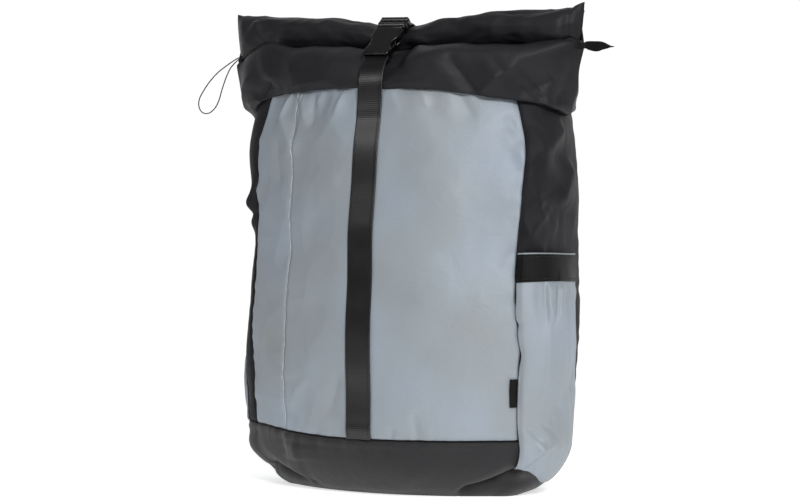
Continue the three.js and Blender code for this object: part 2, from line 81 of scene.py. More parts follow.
BACK_CHANNELS_X, BACK_CHANNELS_Z = (-52, 0, 52), (140, 250)
LOCK_PLACE, LOCK_TIP, LOCK_LEAN = (94.9, 107.4, 156.2), -0.2, 0.22
GRAB_HALF, GRAB_OUT, GRAB_HEIGHT = 40, 27, 350
FLOOR_REACH = 1.0  # metres


def smooth_table(rows):
    """Cubic through the rows of a table, each row's slope the mean of the slopes on its two sides."""
    rows = np.array(rows, float)
    keys, values = rows[:, 0], rows[:, 1:]
    secant = np.diff(values, axis=0) / np.diff(keys)[:, None]
    slope = np.vstack([secant[:1], (secant[1:] + secant[:-1]) / 2, secant[-1:]])

    def at(key):
        """The row at a key, blended from the rows on its two sides."""
        key = np.clip(np.asarray(key, float), keys[0], keys[-1])
        i = np.clip(np.searchsorted(keys, key, "right") - 1, 0, len(keys) - 2)
        span = (keys[i + 1] - keys[i])[..., None]
        p = (key - keys[i])[..., None] / span
        q = 1 - p
        found = values[i] * (1 + 2 * p) * q * q + values[i + 1] * (1 + 2 * q) * p * p
        found = found + span * p * q * (slope[i] * q - slope[i + 1] * p)
        return np.moveaxis(found, -1, 0)

    return at


# Wall sections: z, front, edge_x, edge_y, bulge_x, hip_x, back_x, back
body = smooth_table([
    [52, -81, 135, -31, 177, 150, 139, 78],
    [90, -82.5, 137, -35, 175, 154, 142.5, 79],
    [135, -82.5, 139, -38, 174, 157, 145.5, 80],
    [180, -81, 137, -38, 165, 154, 147, 80],
    [225, -78, 136, -33, 157, 154, 148, 80],
    [270, -74, 137, -32, 166, 164, 147, 80],
    [318, -67, 137, -27, 178, 158, 144.5, 79],
    [360, -58, 127, -22, 173, 150, 140, 78],
    [390, -52, 122, -19, 165, 146, 137, 77],
])

# Base: z, and how far its outline draws in at the sides, front and back
base = smooth_table([
    [0, 40, 37, 20],
    [5, 28, 26, 14],
    [14, 17, 15, 8],
    [26, 7, 6, 3],
    [40, 1, 1, 0.5],
    [52, 0, 0, 0],
])

# Collar: up, flat, out, flare, y_front, y_back, end_y, half, z_front, z_end, z_back, press
collar = smooth_table([
    [0, 0, 4.5, 8, -62, 84, 8, 160, 373, 351, 366, 0],
    [1, 0.28, 8, 12, -63, 86, 3, 182, 384, 366, 377, 0],
    [2, 0.75, 4, 12, -56, 70, 1, 183, 399, 384, 389, 7],
    [3, 1, 0, 0, -31, 45, 5, 182, 409.5, 402, 402, 4],
    [3.5, 1, 0, 0, -14, 28, 6, 180.5, 408, 406, 407, 3],
    [4, 1, 0, 0, 14, 14, 6, 180.5, 408, 408, 408, 0],
])

# Roll: x, and its middle line's y and z, its reach in y and its reach in z
roll = smooth_table([
    [-181, 6, 429, 3, 25],
    [-174, 6, 428, 12, 24],
    [-163, 6, 427.5, 18.5, 23.5],
    [-145, 5, 427.3, 20, 21.5],
    [-110, 3, 427.3, 19.5, 19.3],
    [-85, 2, 426.3, 19, 19],
    [-60, 1, 423.8, 18.5, 18.3],
    [-32, 0, 420.2, 17, 15.8],
    [-14, 0, 417.5, 15, 12.9],
    [14, 0, 417.5, 15, 12.9],
    [32, 0, 418.7, 17, 14.4],
    [60, 1, 421.6, 17.5, 16.2],
    [110, 2, 422, 17.5, 17.3],
    [150, 4, 421.7, 17.5, 18.2],
    [166, 6, 423, 17.5, 19.5],
    [175, 6, 424.5, 12, 20],
    [182, 6, 424.5, 2.5, 21],
])

# Seam in the front, left of the strap: z, place round the bag
hidden_seam = smooth_table([
    [46, -0.612],
    [150, -0.6],
    [213, -0.58],
    [264, -0.595],
    [322, -0.605],
    [348, -0.63],
    [390, -0.645],
])

# Seam between the front and the right side, puckered beside the pocket: z, place round the bag
side_seam = smooth_table([
    [46, 1.0],
    [62, 0.988],
    [101, 0.988],
    [117, 0.993],
    [129, 1.004],
    [139, 0.991],
    [150, 0.986],
    [156, 0.993],
    [161, 0.979],
    [178, 0.984],
    [218, 0.987],
    [234, 1.0],
    [390, 1.0],
])

# Dents of the stuffed cloth: place round the bag, z, spread round, spread up, how far out
DENTS = [
    [1.45, 305, 0.18, 14, -6],
    [1.3, 268, 0.2, 12, 3],
    [1.62, 258, 0.18, 12, 3],
    [-1.14, 268, 0.1, 11, 6],
    [-1.3, 236, 0.2, 14, -1.5],
    [-1.2, 345, 0.25, 24, 3],
    [-0.45, 95, 0.14, 26, -2],
    [0.7, 250, 0.16, 50, -2],
    [-1.15, 36, 0.28, 11, 3.5],
    [1.08, 13, 0.2, 8, -4],
    [1.5, 345, 0.4, 60, -2],
    [1.55, 285, 0.35, 40, -2],
    [1.6, 85, 0.4, 30, 2],
    [-1.18, 250, 0.12, 9, 5],
    [1.95, 165, 0.12, 22, 2.5],
]

# Fold lines of the walls: place and z where a line starts and where it ends, height of its crest,
# and how wide it falls off on its left and on its right
WALL_FOLDS = [
    # under the collar, left of the strap
    [-0.71, 374, -0.77, 346, 3.2, 2.5, 9],
    [-0.77, 346, -0.6, 316, 2.8, 5, 12],
    [-0.66, 372, -0.54, 344, 2.4, 8, 2.5],
    [-0.5, 372, -0.47, 338, -2.0, 8, 5],
    [-0.41, 370, -0.46, 358, 1.8, 2.5, 3],
    [-0.23, 368, -0.27, 346, 2.6, 9, 2.5],
    [-0.38, 356, -0.17, 322, 1.6, 9, 16],
    [-0.34, 298, -0.2, 284, 1.0, 9, 14],
    [-0.75, 322, -0.73, 284, -1.4, 7, 8],
    # right of the strap and by the right edge
    [0.13, 370, 0.21, 348, 1.2, 5, 9],
    [0.92, 340, 1.0, 318, -2.2, 7, 12],
    [0.35, 372, 0.4, 352, 0.9, 5, 5],
    [0.62, 366, 0.7, 342, -0.9, 6, 6],
    [0.98, 226, 0.9, 206, -1.2, 5, 6],
    # above the base
    [-0.147, 108, -0.215, 76, -1.7, 8, 9],
    [-0.383, 106, -0.503, 92, 1.4, 7, 10],
    [-0.503, 92, -0.55, 78, 1.4, 7, 10],
    [0.357, 76, 0.37, 52, -1.4, 4, 3],
    [0.218, 64, 0.222, 52, -1.0, 3, 3],
    # left side
    [-1.02, 284, -1.16, 262, 2.4, 9, 7],
    [-1.0, 257, -1.3, 258, -2.6, 6, 7],
    # base: slit at the left corner, fold at the right corner
    [-1.3, 9, -0.97, 16, -4.0, 4, 3.5],
    [-0.97, 17, -0.63, 9, -6.5, 3.2, 2.4],
    [-0.55, 7.5, -0.48, 8.5, -1.2, 3, 3],
    [0.7, 5, 0.9, 14, -6.5, 2.5, 5],
    [0.9, 14, 1.03, 25.5, -6.5, 2.5, 5],
]

# Broad facets of the right side above the pocket, in the same columns
SIDE_FOLDS = [
    [1.0, 297, 1.17, 312, 3.6, 15, 9],
    [1.17, 312, 1.44, 332, 3.6, 15, 9],
    [1.02, 289, 1.157, 264, 3.2, 16, 8],
    [1.157, 264, 1.2, 250, 3.0, 16, 7],
    [1.66, 300, 1.415, 268, 4.2, 14, 8],
    [1.2, 262, 1.7, 254, -4.4, 8, 9],
    [1.05, 235, 1.25, 252, 3.4, 12, 6],
    [1.25, 252, 1.45, 246, 2.0, 9, 9],
    [1.06, 236, 1.28, 220, 2.2, 8, 10],
    [1.1, 345, 1.4, 352, -1.8, 8, 8],
]

# Soft folds of the thicker cloth of the base, in the same columns
BASE_FOLDS = [
    [-0.95, 51, -0.63, 46.5, 1.4, 9, 14],
    [-0.63, 46.5, -0.5, 42.5, 1.4, 10, 16],
    [-0.5, 42.5, -0.5, 30, 1.3, 12, 15],
    [-0.62, 39, -0.95, 21, -3.4, 9, 9],
    [-0.9, 27, -0.58, 16, 1.6, 9, 5],
    [0.62, 46, 0.72, 12, -1.0, 10, 11],
    [0.82, 48, 0.92, 28, 1.3, 9, 11],
    [0.2, 40, 0.34, 12, 0.7, 16, 18],
]

# Fold lines of the right pocket, in the same columns
POCKET_FOLDS = [
    [1.215, 199, 1.2, 160, 3.0, 14, 1.8],
    [1.2, 160, 1.15, 88, 2.2, 16, 3.0],
    [1.197, 197, 1.188, 158, -1.2, 1.5, 1.5],
    [1.345, 199, 1.255, 157, 2.6, 12, 1.6],
    [1.328, 197, 1.243, 158, -1.1, 1.4, 1.4],
    [1.47, 184, 1.48, 150, 2.0, 7, 2.5],
    [1.0, 25, 1.083, 35, 2.4, 9, 1.6],
    [1.083, 35, 1.17, 44.5, 2.4, 9, 1.6],
    [1.17, 44.5, 1.3, 49, 1.2, 8, 3],
]

# Broad valley across the right pocket's lower half, in the same columns
POCKET_VALLEY = [
    [1.72, 108, 1.348, 86, -4.0, 10, 14],
    [1.348, 86, 1.19, 68, -4.0, 10, 14],
    [1.19, 68, 1.12, 55, -2.8, 9, 12],
]

# Fold lines of the collar's front: reach and up at start and end, height, widths
COLLAR_FOLDS = [
    [0.42, 1.7, 0.53, 0.0, -2.6, 4, 9],
    [0.53, 0.0, 0.634, 1.15, 2.4, 5, 10],
    [0.634, 1.15, 0.95, 3.0, 2.4, 7, 12],
    [0.74, 1.75, 0.804, 0.7, -2.4, 8, 7],
    [0.804, 0.7, 0.87, 1.2, -1.8, 6, 7],
    [0.73, 0.8, 0.815, 0.15, -1.7, 6, 6],
    [-0.68, 1.0, -0.75, 0.2, -2.4, 7, 8],
    [-0.97, 0.5, -0.8, 1.7, 2.0, 9, 9],
    [-0.5, 0.35, -0.12, 0.75, 1.0, 7, 9],
    [0.1, 0.5, 0.32, 0.35, 0.9, 7, 7],
    [-0.6, 2.2, -0.28, 1.9, -1.0, 12, 14],
    [0.9, 0.2, 0.97, 1.9, -2.0, 6, 9],
]

# Fold lines of the roll: x and turn in degrees at start and end, height, widths
ROLL_FOLDS = [
    [-152, 140, -138, 188, 4.0, 9, 3],
    [-138, 188, -122, 200, 3.4, 9, 3],
    [-150, 128, -78, 150, 1.7, 8, 10],
    [-78, 150, -24, 168, 1.6, 8, 10],
    [-110, 96, -40, 118, -1.2, 8, 9],
    [66, 140, 92, 166, 1.6, 6, 7],
    [92, 166, 152, 182, 1.4, 6, 8],
    [112, 120, 160, 112, -1.5, 7, 7],
    [170, 90, 171, 235, -2.6, 3, 3.5],
    [-60, 30, 60, 44, 1.2, 9, 9],
    [90, 36, 160, 20, 1.4, 8, 9],
    [-160, 40, -90, 24, 1.4, 8, 9],
]

# Zip pull's cord: one line out from the left end of the roll, down, and back
LOOP = [
    [-177, 5, 411.5],
    [-182.4, 4, 409.2],
    [-190, 2.5, 404.5],
    [-201, 1, 397],
    [-211, 1, 388],
    [-219, 2, 379],
    [-224, 3, 372],
    [-225.5, 4, 365.5],
    [-223.5, 5, 359.8],
    [-219, 6, 357.4],
    [-213.5, 7, 358.6],
    [-208, 8, 364],
    [-204.5, 8.5, 371],
    [-202, 8.5, 378.5],
    [-199, 8.5, 386.5],
    [-195, 8.2, 395],
    [-190, 7.6, 402.2],
    [-182.4, 6.8, 408.2],
    [-177, 6.5, 411],
]

# Zip's end tab at the right end of the roll: x, z of its upper edge, z of its lower edge
TAB = [
    [166, 409, 405.5],
    [168, 411, 403],
    [172, 412, 402],
    [176, 410.5, 402],
    [179.5, 408, 402],
    [181.5, 406.8, 402.4],
    [184, 408.8, 402],
    [186, 409, 401.3],
    [192.6, 408.6, 399.4],
    [195, 408.5, 399.3],
    [198.6, 408, 400.2],
    [204, 405.6, 401.3],
    [207, 404, 402.2],
    [210.5, 403.2, 402.6],
]

# Shoulder strap pad: its middle line, width and thickness on the right side, from the top seam down
STRAP = [
    [45.5, 80.5, 309, 58, 8],
    [49, 99, 326, 60, 9],
    [55, 114, 314, 62, 9],
    [64, 122, 285, 62, 9],
    [75, 122, 240, 58, 9],
    [86, 115, 195, 50, 9],
    [93, 109, 165, 40, 8],
]

# Lower webbing of a shoulder strap, from the ladder lock to the seam above the base
LOWER_WEB = [
    [95.4, 106.9, 154],
    [97.4, 105.2, 145.4],
    [101.5, 101, 128],
    [112, 93, 96],
    [122, 85, 72],
    [125, 81.6, 60],
]

# Front strap from the collar's lip up to the buckle: y, z
STRAP_OVER = [
    [-61.6, 350],
    [-60.8, 357],
    [-60.3, 363],
    [-60, 368],
    [-59.8, 372],
    [-59.4, 376],
    [-58.5, 380],
    [-57, 384.3],
    [-54.7, 389],
    [-51.6, 393.3],
]

# Back strap below the collar: z, and how far it lies behind the back panel
STRAP_DOWN = [[364, 6.2], [357, 4.4], [349, 2.2], [338, 1.8], [328, 1.8]]

# Pockets: side, height of the lower front corner, and the shares of the width over which the lower edge
# falls from it
POCKETS = {"right": (1, 26.5, 0.05, 0.45), "left": (-1, BASE_SEAM + 5, 0.2, 0.6)}

# Prong of the buckle's plug on the right: x, and place along the buckle
PRONG = [
    [8.6, -7],
    [11.6, -7],
    [11.6, -20],
    [13, -25],
    [14.2, -29],
    [14, -32.5],
    [12.4, -35.2],
    [8, -35.2],
    [6.8, -33],
    [7.2, -26],
]

# Lights: place and width in metres, power in watts
LIGHTS = {
    "key": ((1.65, -1.75, 1.4), 0.8, 52),
    "overhead": ((0.5, -1.0, 2.1), 1.2, 8),
    "strip": ((-0.95, -1.8, 1.35), 0.25, 5),
}


def smoothstep(value, low, high):
    """0 at low, 1 at high, level beyond them and smooth between. It falls where low is above high."""
    t = np.clip((value - low) / (high - low), 0, 1)
    return t * t * (3 - 2 * t)


def hill(value, middle, spread):
    """Bell curve of height 1 about its middle."""
    return np.exp(-(((value - middle) / spread) ** 2))


def mix(a, b, share):
    """a at share 0, b at share 1."""
    return a + (b - a) * share


def unit(vectors):
    """The vectors at length one."""
    return vectors / np.linalg.norm(vectors, axis=-1, keepdims=True)


def running_length(path):
    """Distance along a path from its start to each of its points."""
    return np.concatenate([[0], np.cumsum(np.linalg.norm(np.diff(path, axis=0), axis=1))])


def circle(steps):
    """Ring of points on a circle of radius one."""
    turn = np.linspace(0, 2 * math.pi, steps, endpoint=False)
    return np.stack([np.cos(turn), np.sin(turn)], -1)


def girth(around):
    """Distance round the wall from the front's middle: the arcs of front, side and back in turn."""
    t = np.abs(around)
    run = FRONT_ARC * np.clip(t, 0, 1) + SIDE_ARC * np.clip(t - 1, 0, 1) + BACK_ARC * np.clip(t - 2, 0, 1)
    return np.sign(around) * run


def uneven(u, v, longest, shortest, seed, waves=28):
    """Smooth unevenness of about -1 to 1: waves of random way, length and phase, the long ones higher."""
    rng = np.random.default_rng(seed)
    total, weight = 0, 0
    for _ in range(waves):
        length = math.exp(rng.uniform(math.log(shortest), math.log(longest)))
        way, phase = rng.uniform(0, 2 * math.pi, 2)
        along = u * math.cos(way) + v * math.sin(way)
        total = total + length * np.sin(2 * math.pi * along / length + phase)
        weight += length * length
    return total / math.sqrt(weight)


def crumple(u, v, size, seed):
    """Crumpled cloth of about -1 to 1: unevenness without its sign, so that it breaks into facets along
    the lines where the unevenness is zero, with finer facets on top."""
    coarse = np.abs(uneven(u, v, 1.6 * size, 0.8 * size, seed, 9))
    fine = np.abs(uneven(u, v, 0.8 * size, 0.4 * size, seed + 500, 9))
    return 1 - coarse - 0.5 * fine


def folds(u, v, lines, soft_share=0.2):
    """Sum of fold lines. Each has a soft crest along its line, falls off exponentially to its two sides
    and fades at its ends. A row is u, v at the start, u, v at the end, height, width on the left, width
    on the right."""
    total = np.zeros(np.broadcast(u, v).shape)
    for u0, v0, u1, v1, height, left, right in lines:
        run = math.hypot(u1 - u0, v1 - v0)
        du, dv = (u1 - u0) / run, (v1 - v0) / run
        along = ((u - u0) * du + (v - v0) * dv) / run
        across = (u - u0) * dv - (v - v0) * du
        wide = np.where(across > 0, right, left)
        soft = soft_share * wide
        crest = np.exp(-(np.sqrt(across**2 + soft**2) - soft) / wide)
        total += height * crest * smoothstep(along, -0.25, 0.2) * smoothstep(along, 1.25, 0.8)
    return total


def wall_folds(run, z, lines, soft_share=0.2):
    """Fold lines given by place round the bag and height. Each place is turned into its girth."""
    rows = np.array(lines, float)
    rows[:, [0, 2]] = girth(rows[:, [0, 2]])
    return folds(run, z, rows, soft_share)


# Walls, collar and roll as functions of a place on them
def section(around, z):
    """Wall outline at a height: an arc across the front up to place 1, a cubic curve along the side up
    to 2, and a straight back up to 3, mirrored for negative places."""
    front, edge_x, edge_y, bulge_x, hip_x, back_x, back = body(z)
    t = np.abs(around)
    sag = edge_y - front
    radius = (edge_x**2 + sag**2) / (2 * sag)
    angle = np.minimum(t, 1) * np.arcsin(edge_x / radius)
    p = np.clip(t - 1, 0, 1)
    q = 1 - p
    weights = q**3, 3 * q * q * p, 3 * q * p * p, p**3
    side_x = sum(w * x for w, x in zip(weights, (edge_x, bulge_x, hip_x, back_x)))
    side_y = sum(w * y for w, y in zip(weights, (edge_y, edge_y + 17, back - 35, back)))
    x = np.where(t <= 1, radius * np.sin(angle), np.where(t <= 2, side_x, back_x * (3 - t)))
    y = np.where(t <= 1, front + radius * (1 - np.cos(angle)), np.where(t <= 2, side_y, back))
    return np.sign(around) * x, y


def smooth_skin(around, z):
    """Outside of walls and base without folds. Below the seam it draws in as the base table says."""
    around, z = np.broadcast_arrays(np.asarray(around, float), np.asarray(z, float))
    x, y = section((around + 3) % 6 - 3, np.maximum(z, BASE_SEAM))
    side, front, back = base(np.minimum(z, BASE_SEAM))
    deep = np.where(y > 0, back / BACK_DEEP, front / FRONT_DEEP)
    return np.stack([x * (1 - side / HALF_WIDE), y * (1 - deep), z], -1)


def skin_normal(around, z):
    """Outward normal of the smooth skin, from the steps round it and up it."""
    along = smooth_skin(around + 0.03, z) - smooth_skin(around - 0.03, z)
    up = smooth_skin(around, z + 1) - smooth_skin(around, np.maximum(z - 1, 0))
    return unit(np.cross(along, up))


def off_skin(around, z, out):
    """Smooth skin moved out along its normal."""
    return smooth_skin(around, z) + skin_normal(around, z) * out[..., None]


def seam_height(around):
    """Height of the seam between base and walls: level, and higher at the left edge of the front."""
    return BASE_SEAM + 6 * smoothstep(-around, 0.15, 1.1) * smoothstep(around, -2.0, -1.3)


def seam_pull(away, along, depth, reach, seed):
    """Cloth drawn in at a seam: a groove, and puckers across it that die out away from it."""
    pucker = uneven(along, 0.15 * away, 26, 7, seed, 16)
    return 0.42 * depth * pucker * np.exp(-np.abs(away) / reach) - depth * hill(away, 0, 1.9)


def wall_relief(around, z):
    """How far the stuffed cloth stands out of the smooth skin: the sum of dents, fold lines, seams
    drawn in and soft unevenness, calmed under the right pocket and the collar's lip and pressed in
    behind that pocket."""
    around, z = np.broadcast_arrays(np.asarray(around, float), np.asarray(z, float))
    run = girth(around)
    out = np.zeros(z.shape)
    for place, height, wide, tall, deep in DENTS:
        out += deep * hill(around, place, wide) * hill(z, height, tall)
    crisp = mix(1.4, 1.05, smoothstep(around, 1.0, 1.05))
    sharp, soft, broad = (WALL_FOLDS, crisp, 0.2), (BASE_FOLDS, 1.4, 0.6), (SIDE_FOLDS, 1.5, 0.3)
    for lines, factor, soft_share in (sharp, soft, broad):
        out += factor * wall_folds(run, z, lines, soft_share)
    seam = seam_height(around)
    above = smoothstep(z, seam - 2, seam + 2)
    upright_seams = (
        (side_seam(z)[0], 1.3, 9, 3),
        (-1, 1.5, 11, 4),
        (2, 1.2, 9, 5),
        (-2, 1.2, 9, 6),
        (hidden_seam(z)[0], 1.2, 9, 7),
    )
    for edge, depth, reach, seed in upright_seams:
        out += above * seam_pull(run - girth(edge), z, depth, reach, seed)
    out += seam_pull(z - seam, run, 1.9, 9, 8)
    # gathers under the collar, unevenness everywhere, facets left of the strap and on the right side
    front = np.abs(around) < 1
    top = smoothstep(z, 318, 372) * np.where(front, 1, 0.5)
    left = smoothstep(-around, 0.15, 0.6) * front
    out += 0.9 * top * uneven(run, 0.2 * z, 40, 14, 9) * np.where(run < 0, 1.2, 0.6)
    out += 0.75 * uneven(run, z, 130, 34, 10)
    out += (0.35 + 0.5 * left + 1.4 * top * left) * crumple(run, 0.8 * z, 62, 12) * above
    out += 0.3 * smoothstep(around, 0.97, 1.12) * crumple(0.5 * run, 0.85 * z, 70, 13) * above
    below_band = smoothstep(z, 186, 166)
    covered = smoothstep(around, 1.0, 1.06) * smoothstep(around, 1.9, 1.8) * below_band
    out *= 1 - 0.8 * covered * smoothstep(z, 26, 40)
    out *= 1 - 0.6 * smoothstep(z, 358, 370) * smoothstep(np.abs(around), 1, 0.9)
    pressed = smoothstep(around, 1.03, 1.15) * smoothstep(around, 1.7, 1.6) * smoothstep(z, 30, 46)
    return (out - 4 * pressed * below_band) * smoothstep(z, 0, 5)


def wall(around, z, raised=0.0):
    """Outside of walls and base as it looks: the smooth skin moved out by its relief."""
    return off_skin(around, z, wall_relief(around, z) + raised)


def collar_form(reach, front, up):
    """Collar without folds. reach runs from -1 to 1 along the front or back layer. As up goes from the
    lip at 0 to the ridge at 4, the ring changes from the wall's outline, a distance out of it, to a
    flat fold."""
    reach, up = np.broadcast_arrays(np.asarray(reach, float), np.asarray(up, float))
    flat, out, flare, y_front, y_back, end_y, half, z_front, z_end, z_back, press = collar(up)
    right = reach >= 0
    far = np.abs(reach)
    bend = FRONT_BEND if front else BACK_BEND
    near = np.where(far < bend, far / bend, 1 + 0.5 * (far - bend) / (1 - bend))
    around = np.where(right, 1, -1) * (near if front else 3 - near)
    x = reach * half
    middle, fall = z_back, far**2
    if front:
        # swells under the roll, a lip that hangs lower on the right, and a dip at the strap
        crown = hill(up, 2.9, math.sqrt(0.5))
        swell = 11 * hill(x, -132, np.where(x < -132, 34, 28)) + 5 * hill(x, -64, 34)
        swell = crown * (swell + 1.5 * hill(x, 35, 15) - 3 * smoothstep(x, 70, 100))
        lower = 1.5 * smoothstep(x, -110, -60) + 2 * smoothstep(x, -15, 5) + 6.5 * smoothstep(x, 35, 115)
        lower = hill(up, 0, math.sqrt(0.6)) * (lower + 4.5 * hill(x, 138, 14))
        middle = z_front - press * hill(x, 0, 30) + swell - lower
        fall = far ** (np.where(right, 2, 4) + 8 * smoothstep(up, 1.5, 2.8))
        z_end = z_end + np.where(right, 7, 0) * hill(up, 3, math.sqrt(0.4))
    z = mix(middle, z_end, fall) - 6 * hill(up, 0.4, 1) * np.where(right, 0.5, 1) * far**6
    flare = np.where(right, 0.45 * flare, flare + 6 * hill(up, 1.6, 0.45))
    on_wall = off_skin(around, z, out + flare * far**6)
    curl = far ** (3 if front else 5 - up / 2)
    lying = np.stack([x, mix(y_front if front else y_back, end_y, curl), z], -1)
    found = mix(on_wall, lying, flat[..., None])
    if front:
        # drawn in by the strap, and again beside it
        pulled = 12 * hill(x, 7, 23) * smoothstep(up, 0.1, 1.2) + 2.6 * hill(x, 0, 25)
        beside = 12 * hill(x, 17, 11) * smoothstep(up, 0.5, 1.6)
        found[..., 1] += pulled * smoothstep(up, 3.3, 2.5) + beside * smoothstep(up, 3.9, 3.1)
    return found


def collar_normal(reach, front, up):
    """Outward normal of the collar, from the steps along it and up it."""
    low, high = np.maximum(reach - 0.01, -1), np.minimum(reach + 0.01, 1)
    under, over = np.maximum(up - 0.05, 0), np.minimum(up + 0.05, 4)
    along = collar_form(high, front, up) - collar_form(low, front, up)
    rise = collar_form(reach, front, over) - collar_form(reach, front, under)
    return unit(np.cross(along, rise) if front else np.cross(rise, along))


def collar_skin(reach, front, up):
    """Collar as it looks: its form moved along its normal by folds and unevenness, which fade out at
    the ridge and at both ends."""
    reach, up = np.broadcast_arrays(np.asarray(reach, float), np.asarray(up, float))
    u, v = COLLAR_HALF * reach, COLLAR_STEP * up
    away = v + (0 if front else 300)
    out = uneven(u, away, 110, 26, 21) + 1.2 * crumple(0.7 * u, away, 60, 23)
    if front:
        lines = np.array(COLLAR_FOLDS) * [COLLAR_HALF, COLLAR_STEP, COLLAR_HALF, COLLAR_STEP, 1, 1, 1]
        out = out + 2.1 * folds(u, v, lines, 0.12)
    out = out + 0.5 * uneven(u, 0.3 * v, 24, 9, 22) * np.exp(-v / 9)
    out = out * smoothstep(up, 3.9, 3.1) * smoothstep(np.abs(reach), 1, 0.94)
    return collar_form(reach, front, up) + collar_normal(reach, front, up) * out[..., None]


def roll_form(x, turn, raised=0.0):
    """Rolled mouth: a spiral in the Y-Z plane whose reach falls with a power of its turn, 0 degrees at
    the back and 90 on top. At both ends of the roll its reach in y closes to a flat fin."""
    y, z, deep, tall = roll(x)
    left = 1 - ROLL_SHRINK * ((turn - ROLL_FROM) / (ROLL_TO - ROLL_FROM)) ** 1.6
    angle = np.radians(turn)
    open_end = np.minimum(deep / 12, 1)
    y = y + (deep * left + raised * open_end) * np.cos(angle)
    z = z + (tall * left + raised) * np.sin(angle)
    return np.stack([np.broadcast_to(x, z.shape), y, z], -1)


def roll_relief(x, turn):
    """How far the rolled cloth stands out of the spiral: fold lines and soft unevenness along it."""
    v = ROLL_ARC * turn
    lines = np.array(ROLL_FOLDS) * [1, ROLL_ARC, 1, ROLL_ARC, 1, 1, 1]
    out = 1.4 * folds(x, v, lines) + 0.8 * uneven(x, v, 90, 22, 31) + crumple(0.7 * x, v, 34, 33)
    return out * smoothstep(turn, 300, 230)


def along_buckle(along, out):
    """Point in the Y-Z plane of the buckle: along its length upwards, and out of its face."""
    y = BUCKLE_Y + along * math.cos(BUCKLE_TILT) - out * math.sin(BUCKLE_TILT)
    z = BUCKLE_Z + along * math.sin(BUCKLE_TILT) + out * math.cos(BUCKLE_TILT)
    return y, z


# Surfaces: points, quads, and a UV in millimetres for each corner of each quad
def grid(points, u, v, closed=False):
    """Quads between neighbours in a grid of points. closed joins the last column to the first, and u
    and v then have one column more than the points, so that a pattern runs on across the join."""
    rows, columns = points.shape[:2]
    r, c = np.indices((rows - 1, columns if closed else columns - 1))
    here, above = r * columns, (r + 1) * columns
    after = (c + 1) % columns
    quads = np.stack([here + c, here + after, above + after, above + c], -1)
    flat = np.stack(np.broadcast_arrays(u, v), -1)
    uv = np.stack([flat[r, c], flat[r, c + 1], flat[r + 1, c + 1], flat[r + 1, c]], -2)
    return points.reshape(-1, 3), quads.reshape(-1, 4), uv.reshape(-1, 4, 2)


def join(surfaces):
    """Several surfaces as one."""
    starts = np.cumsum([0] + [len(s[0]) for s in surfaces[:-1]])
    points = np.concatenate([s[0] for s in surfaces])
    quads = np.concatenate([s[1] + start for s, start in zip(surfaces, starts)])
    return points, quads, np.concatenate([s[2] for s in surfaces])


def outward(surface):
    """A closed surface with its faces turned out, told by the sign of its volume."""
    points, quads, uv = surface
    a, b, c, d = (points[quads[:, i]] for i in range(4))
    volume = (a * np.cross(b, c)).sum() + (a * np.cross(c, d)).sum()
    return surface if volume > 0 else (points, quads[:, ::-1], uv[:, ::-1])


def rounded_rectangle(wide, tall, radius, steps=4):
    """Ring of points round a rectangle whose corners are arcs."""
    turn = np.radians(np.linspace(0, 90, steps + 1))
    corners = []
    for i, (sx, sy) in enumerate(((1, 1), (-1, 1), (-1, -1), (1, -1))):
        angle = turn + i * math.pi / 2
        x = sx * (wide / 2 - radius) + radius * np.cos(angle)
        y = sy * (tall / 2 - radius) + radius * np.sin(angle)
        corners.append(np.stack([x, y], -1))
    return np.concatenate(corners)


def sweep(path, level, profile):
    """Closed body: a profile ring carried along a path, its first axis kept along level as far as the
    path lets it, and its ends closed to their middles."""
    along = unit(np.gradient(path, axis=0))
    level = np.broadcast_to(np.asarray(level, float), path.shape)
    across = unit(level - along * (along * level).sum(-1, keepdims=True))
    normal = np.cross(across, along)
    profile = np.broadcast_to(profile, (len(path),) + profile.shape[-2:])
    rings = path[:, None] + across[:, None] * profile[..., :1] + normal[:, None] * profile[..., 1:]
    first, last = (np.broadcast_to(path[i], (1,) + rings.shape[1:]) for i in (0, -1))
    run = running_length(path)
    run = np.concatenate([run[:1], run, run[-1:]])
    ring = np.append(profile[0, :, 0], profile[0, 0, 0])
    return outward(grid(np.concatenate([first, rings, last]), ring[None], run[:, None], closed=True))


def plate(outline, low, high, bevel=0.8):
    """Closed plate: an outline in its own plane from low to high, with rounded edges, each face drawn
    to its middle."""
    edge = unit(np.roll(outline, -1, 0) - np.roll(outline, 1, 0))
    inward = np.stack([-edge[:, 1], edge[:, 0]], -1)
    turn = np.radians([0, 30, 60, 90])
    inset = np.concatenate([1 - np.sin(turn), (1 - np.sin(turn))[::-1]]) * bevel
    rise = (1 - np.cos(turn)) * bevel
    height = np.concatenate([[low, low], low + rise, high - rise[::-1], [high, high]])
    rings = outline + inward * inset[:, None, None]
    middle = np.broadcast_to(outline.mean(0), (1,) + outline.shape)
    faces = [mix(rings[[i]], middle, 0.05) for i in (0, -1)]
    rings = np.concatenate([middle, faces[0], rings, faces[1], middle])
    points = np.concatenate([rings, np.broadcast_to(height[:, None, None], rings.shape[:2] + (1,))], -1)
    wide = np.append(outline[:, 0], outline[0, 0])
    return outward(grid(points, wide[None], height[:, None], closed=True))


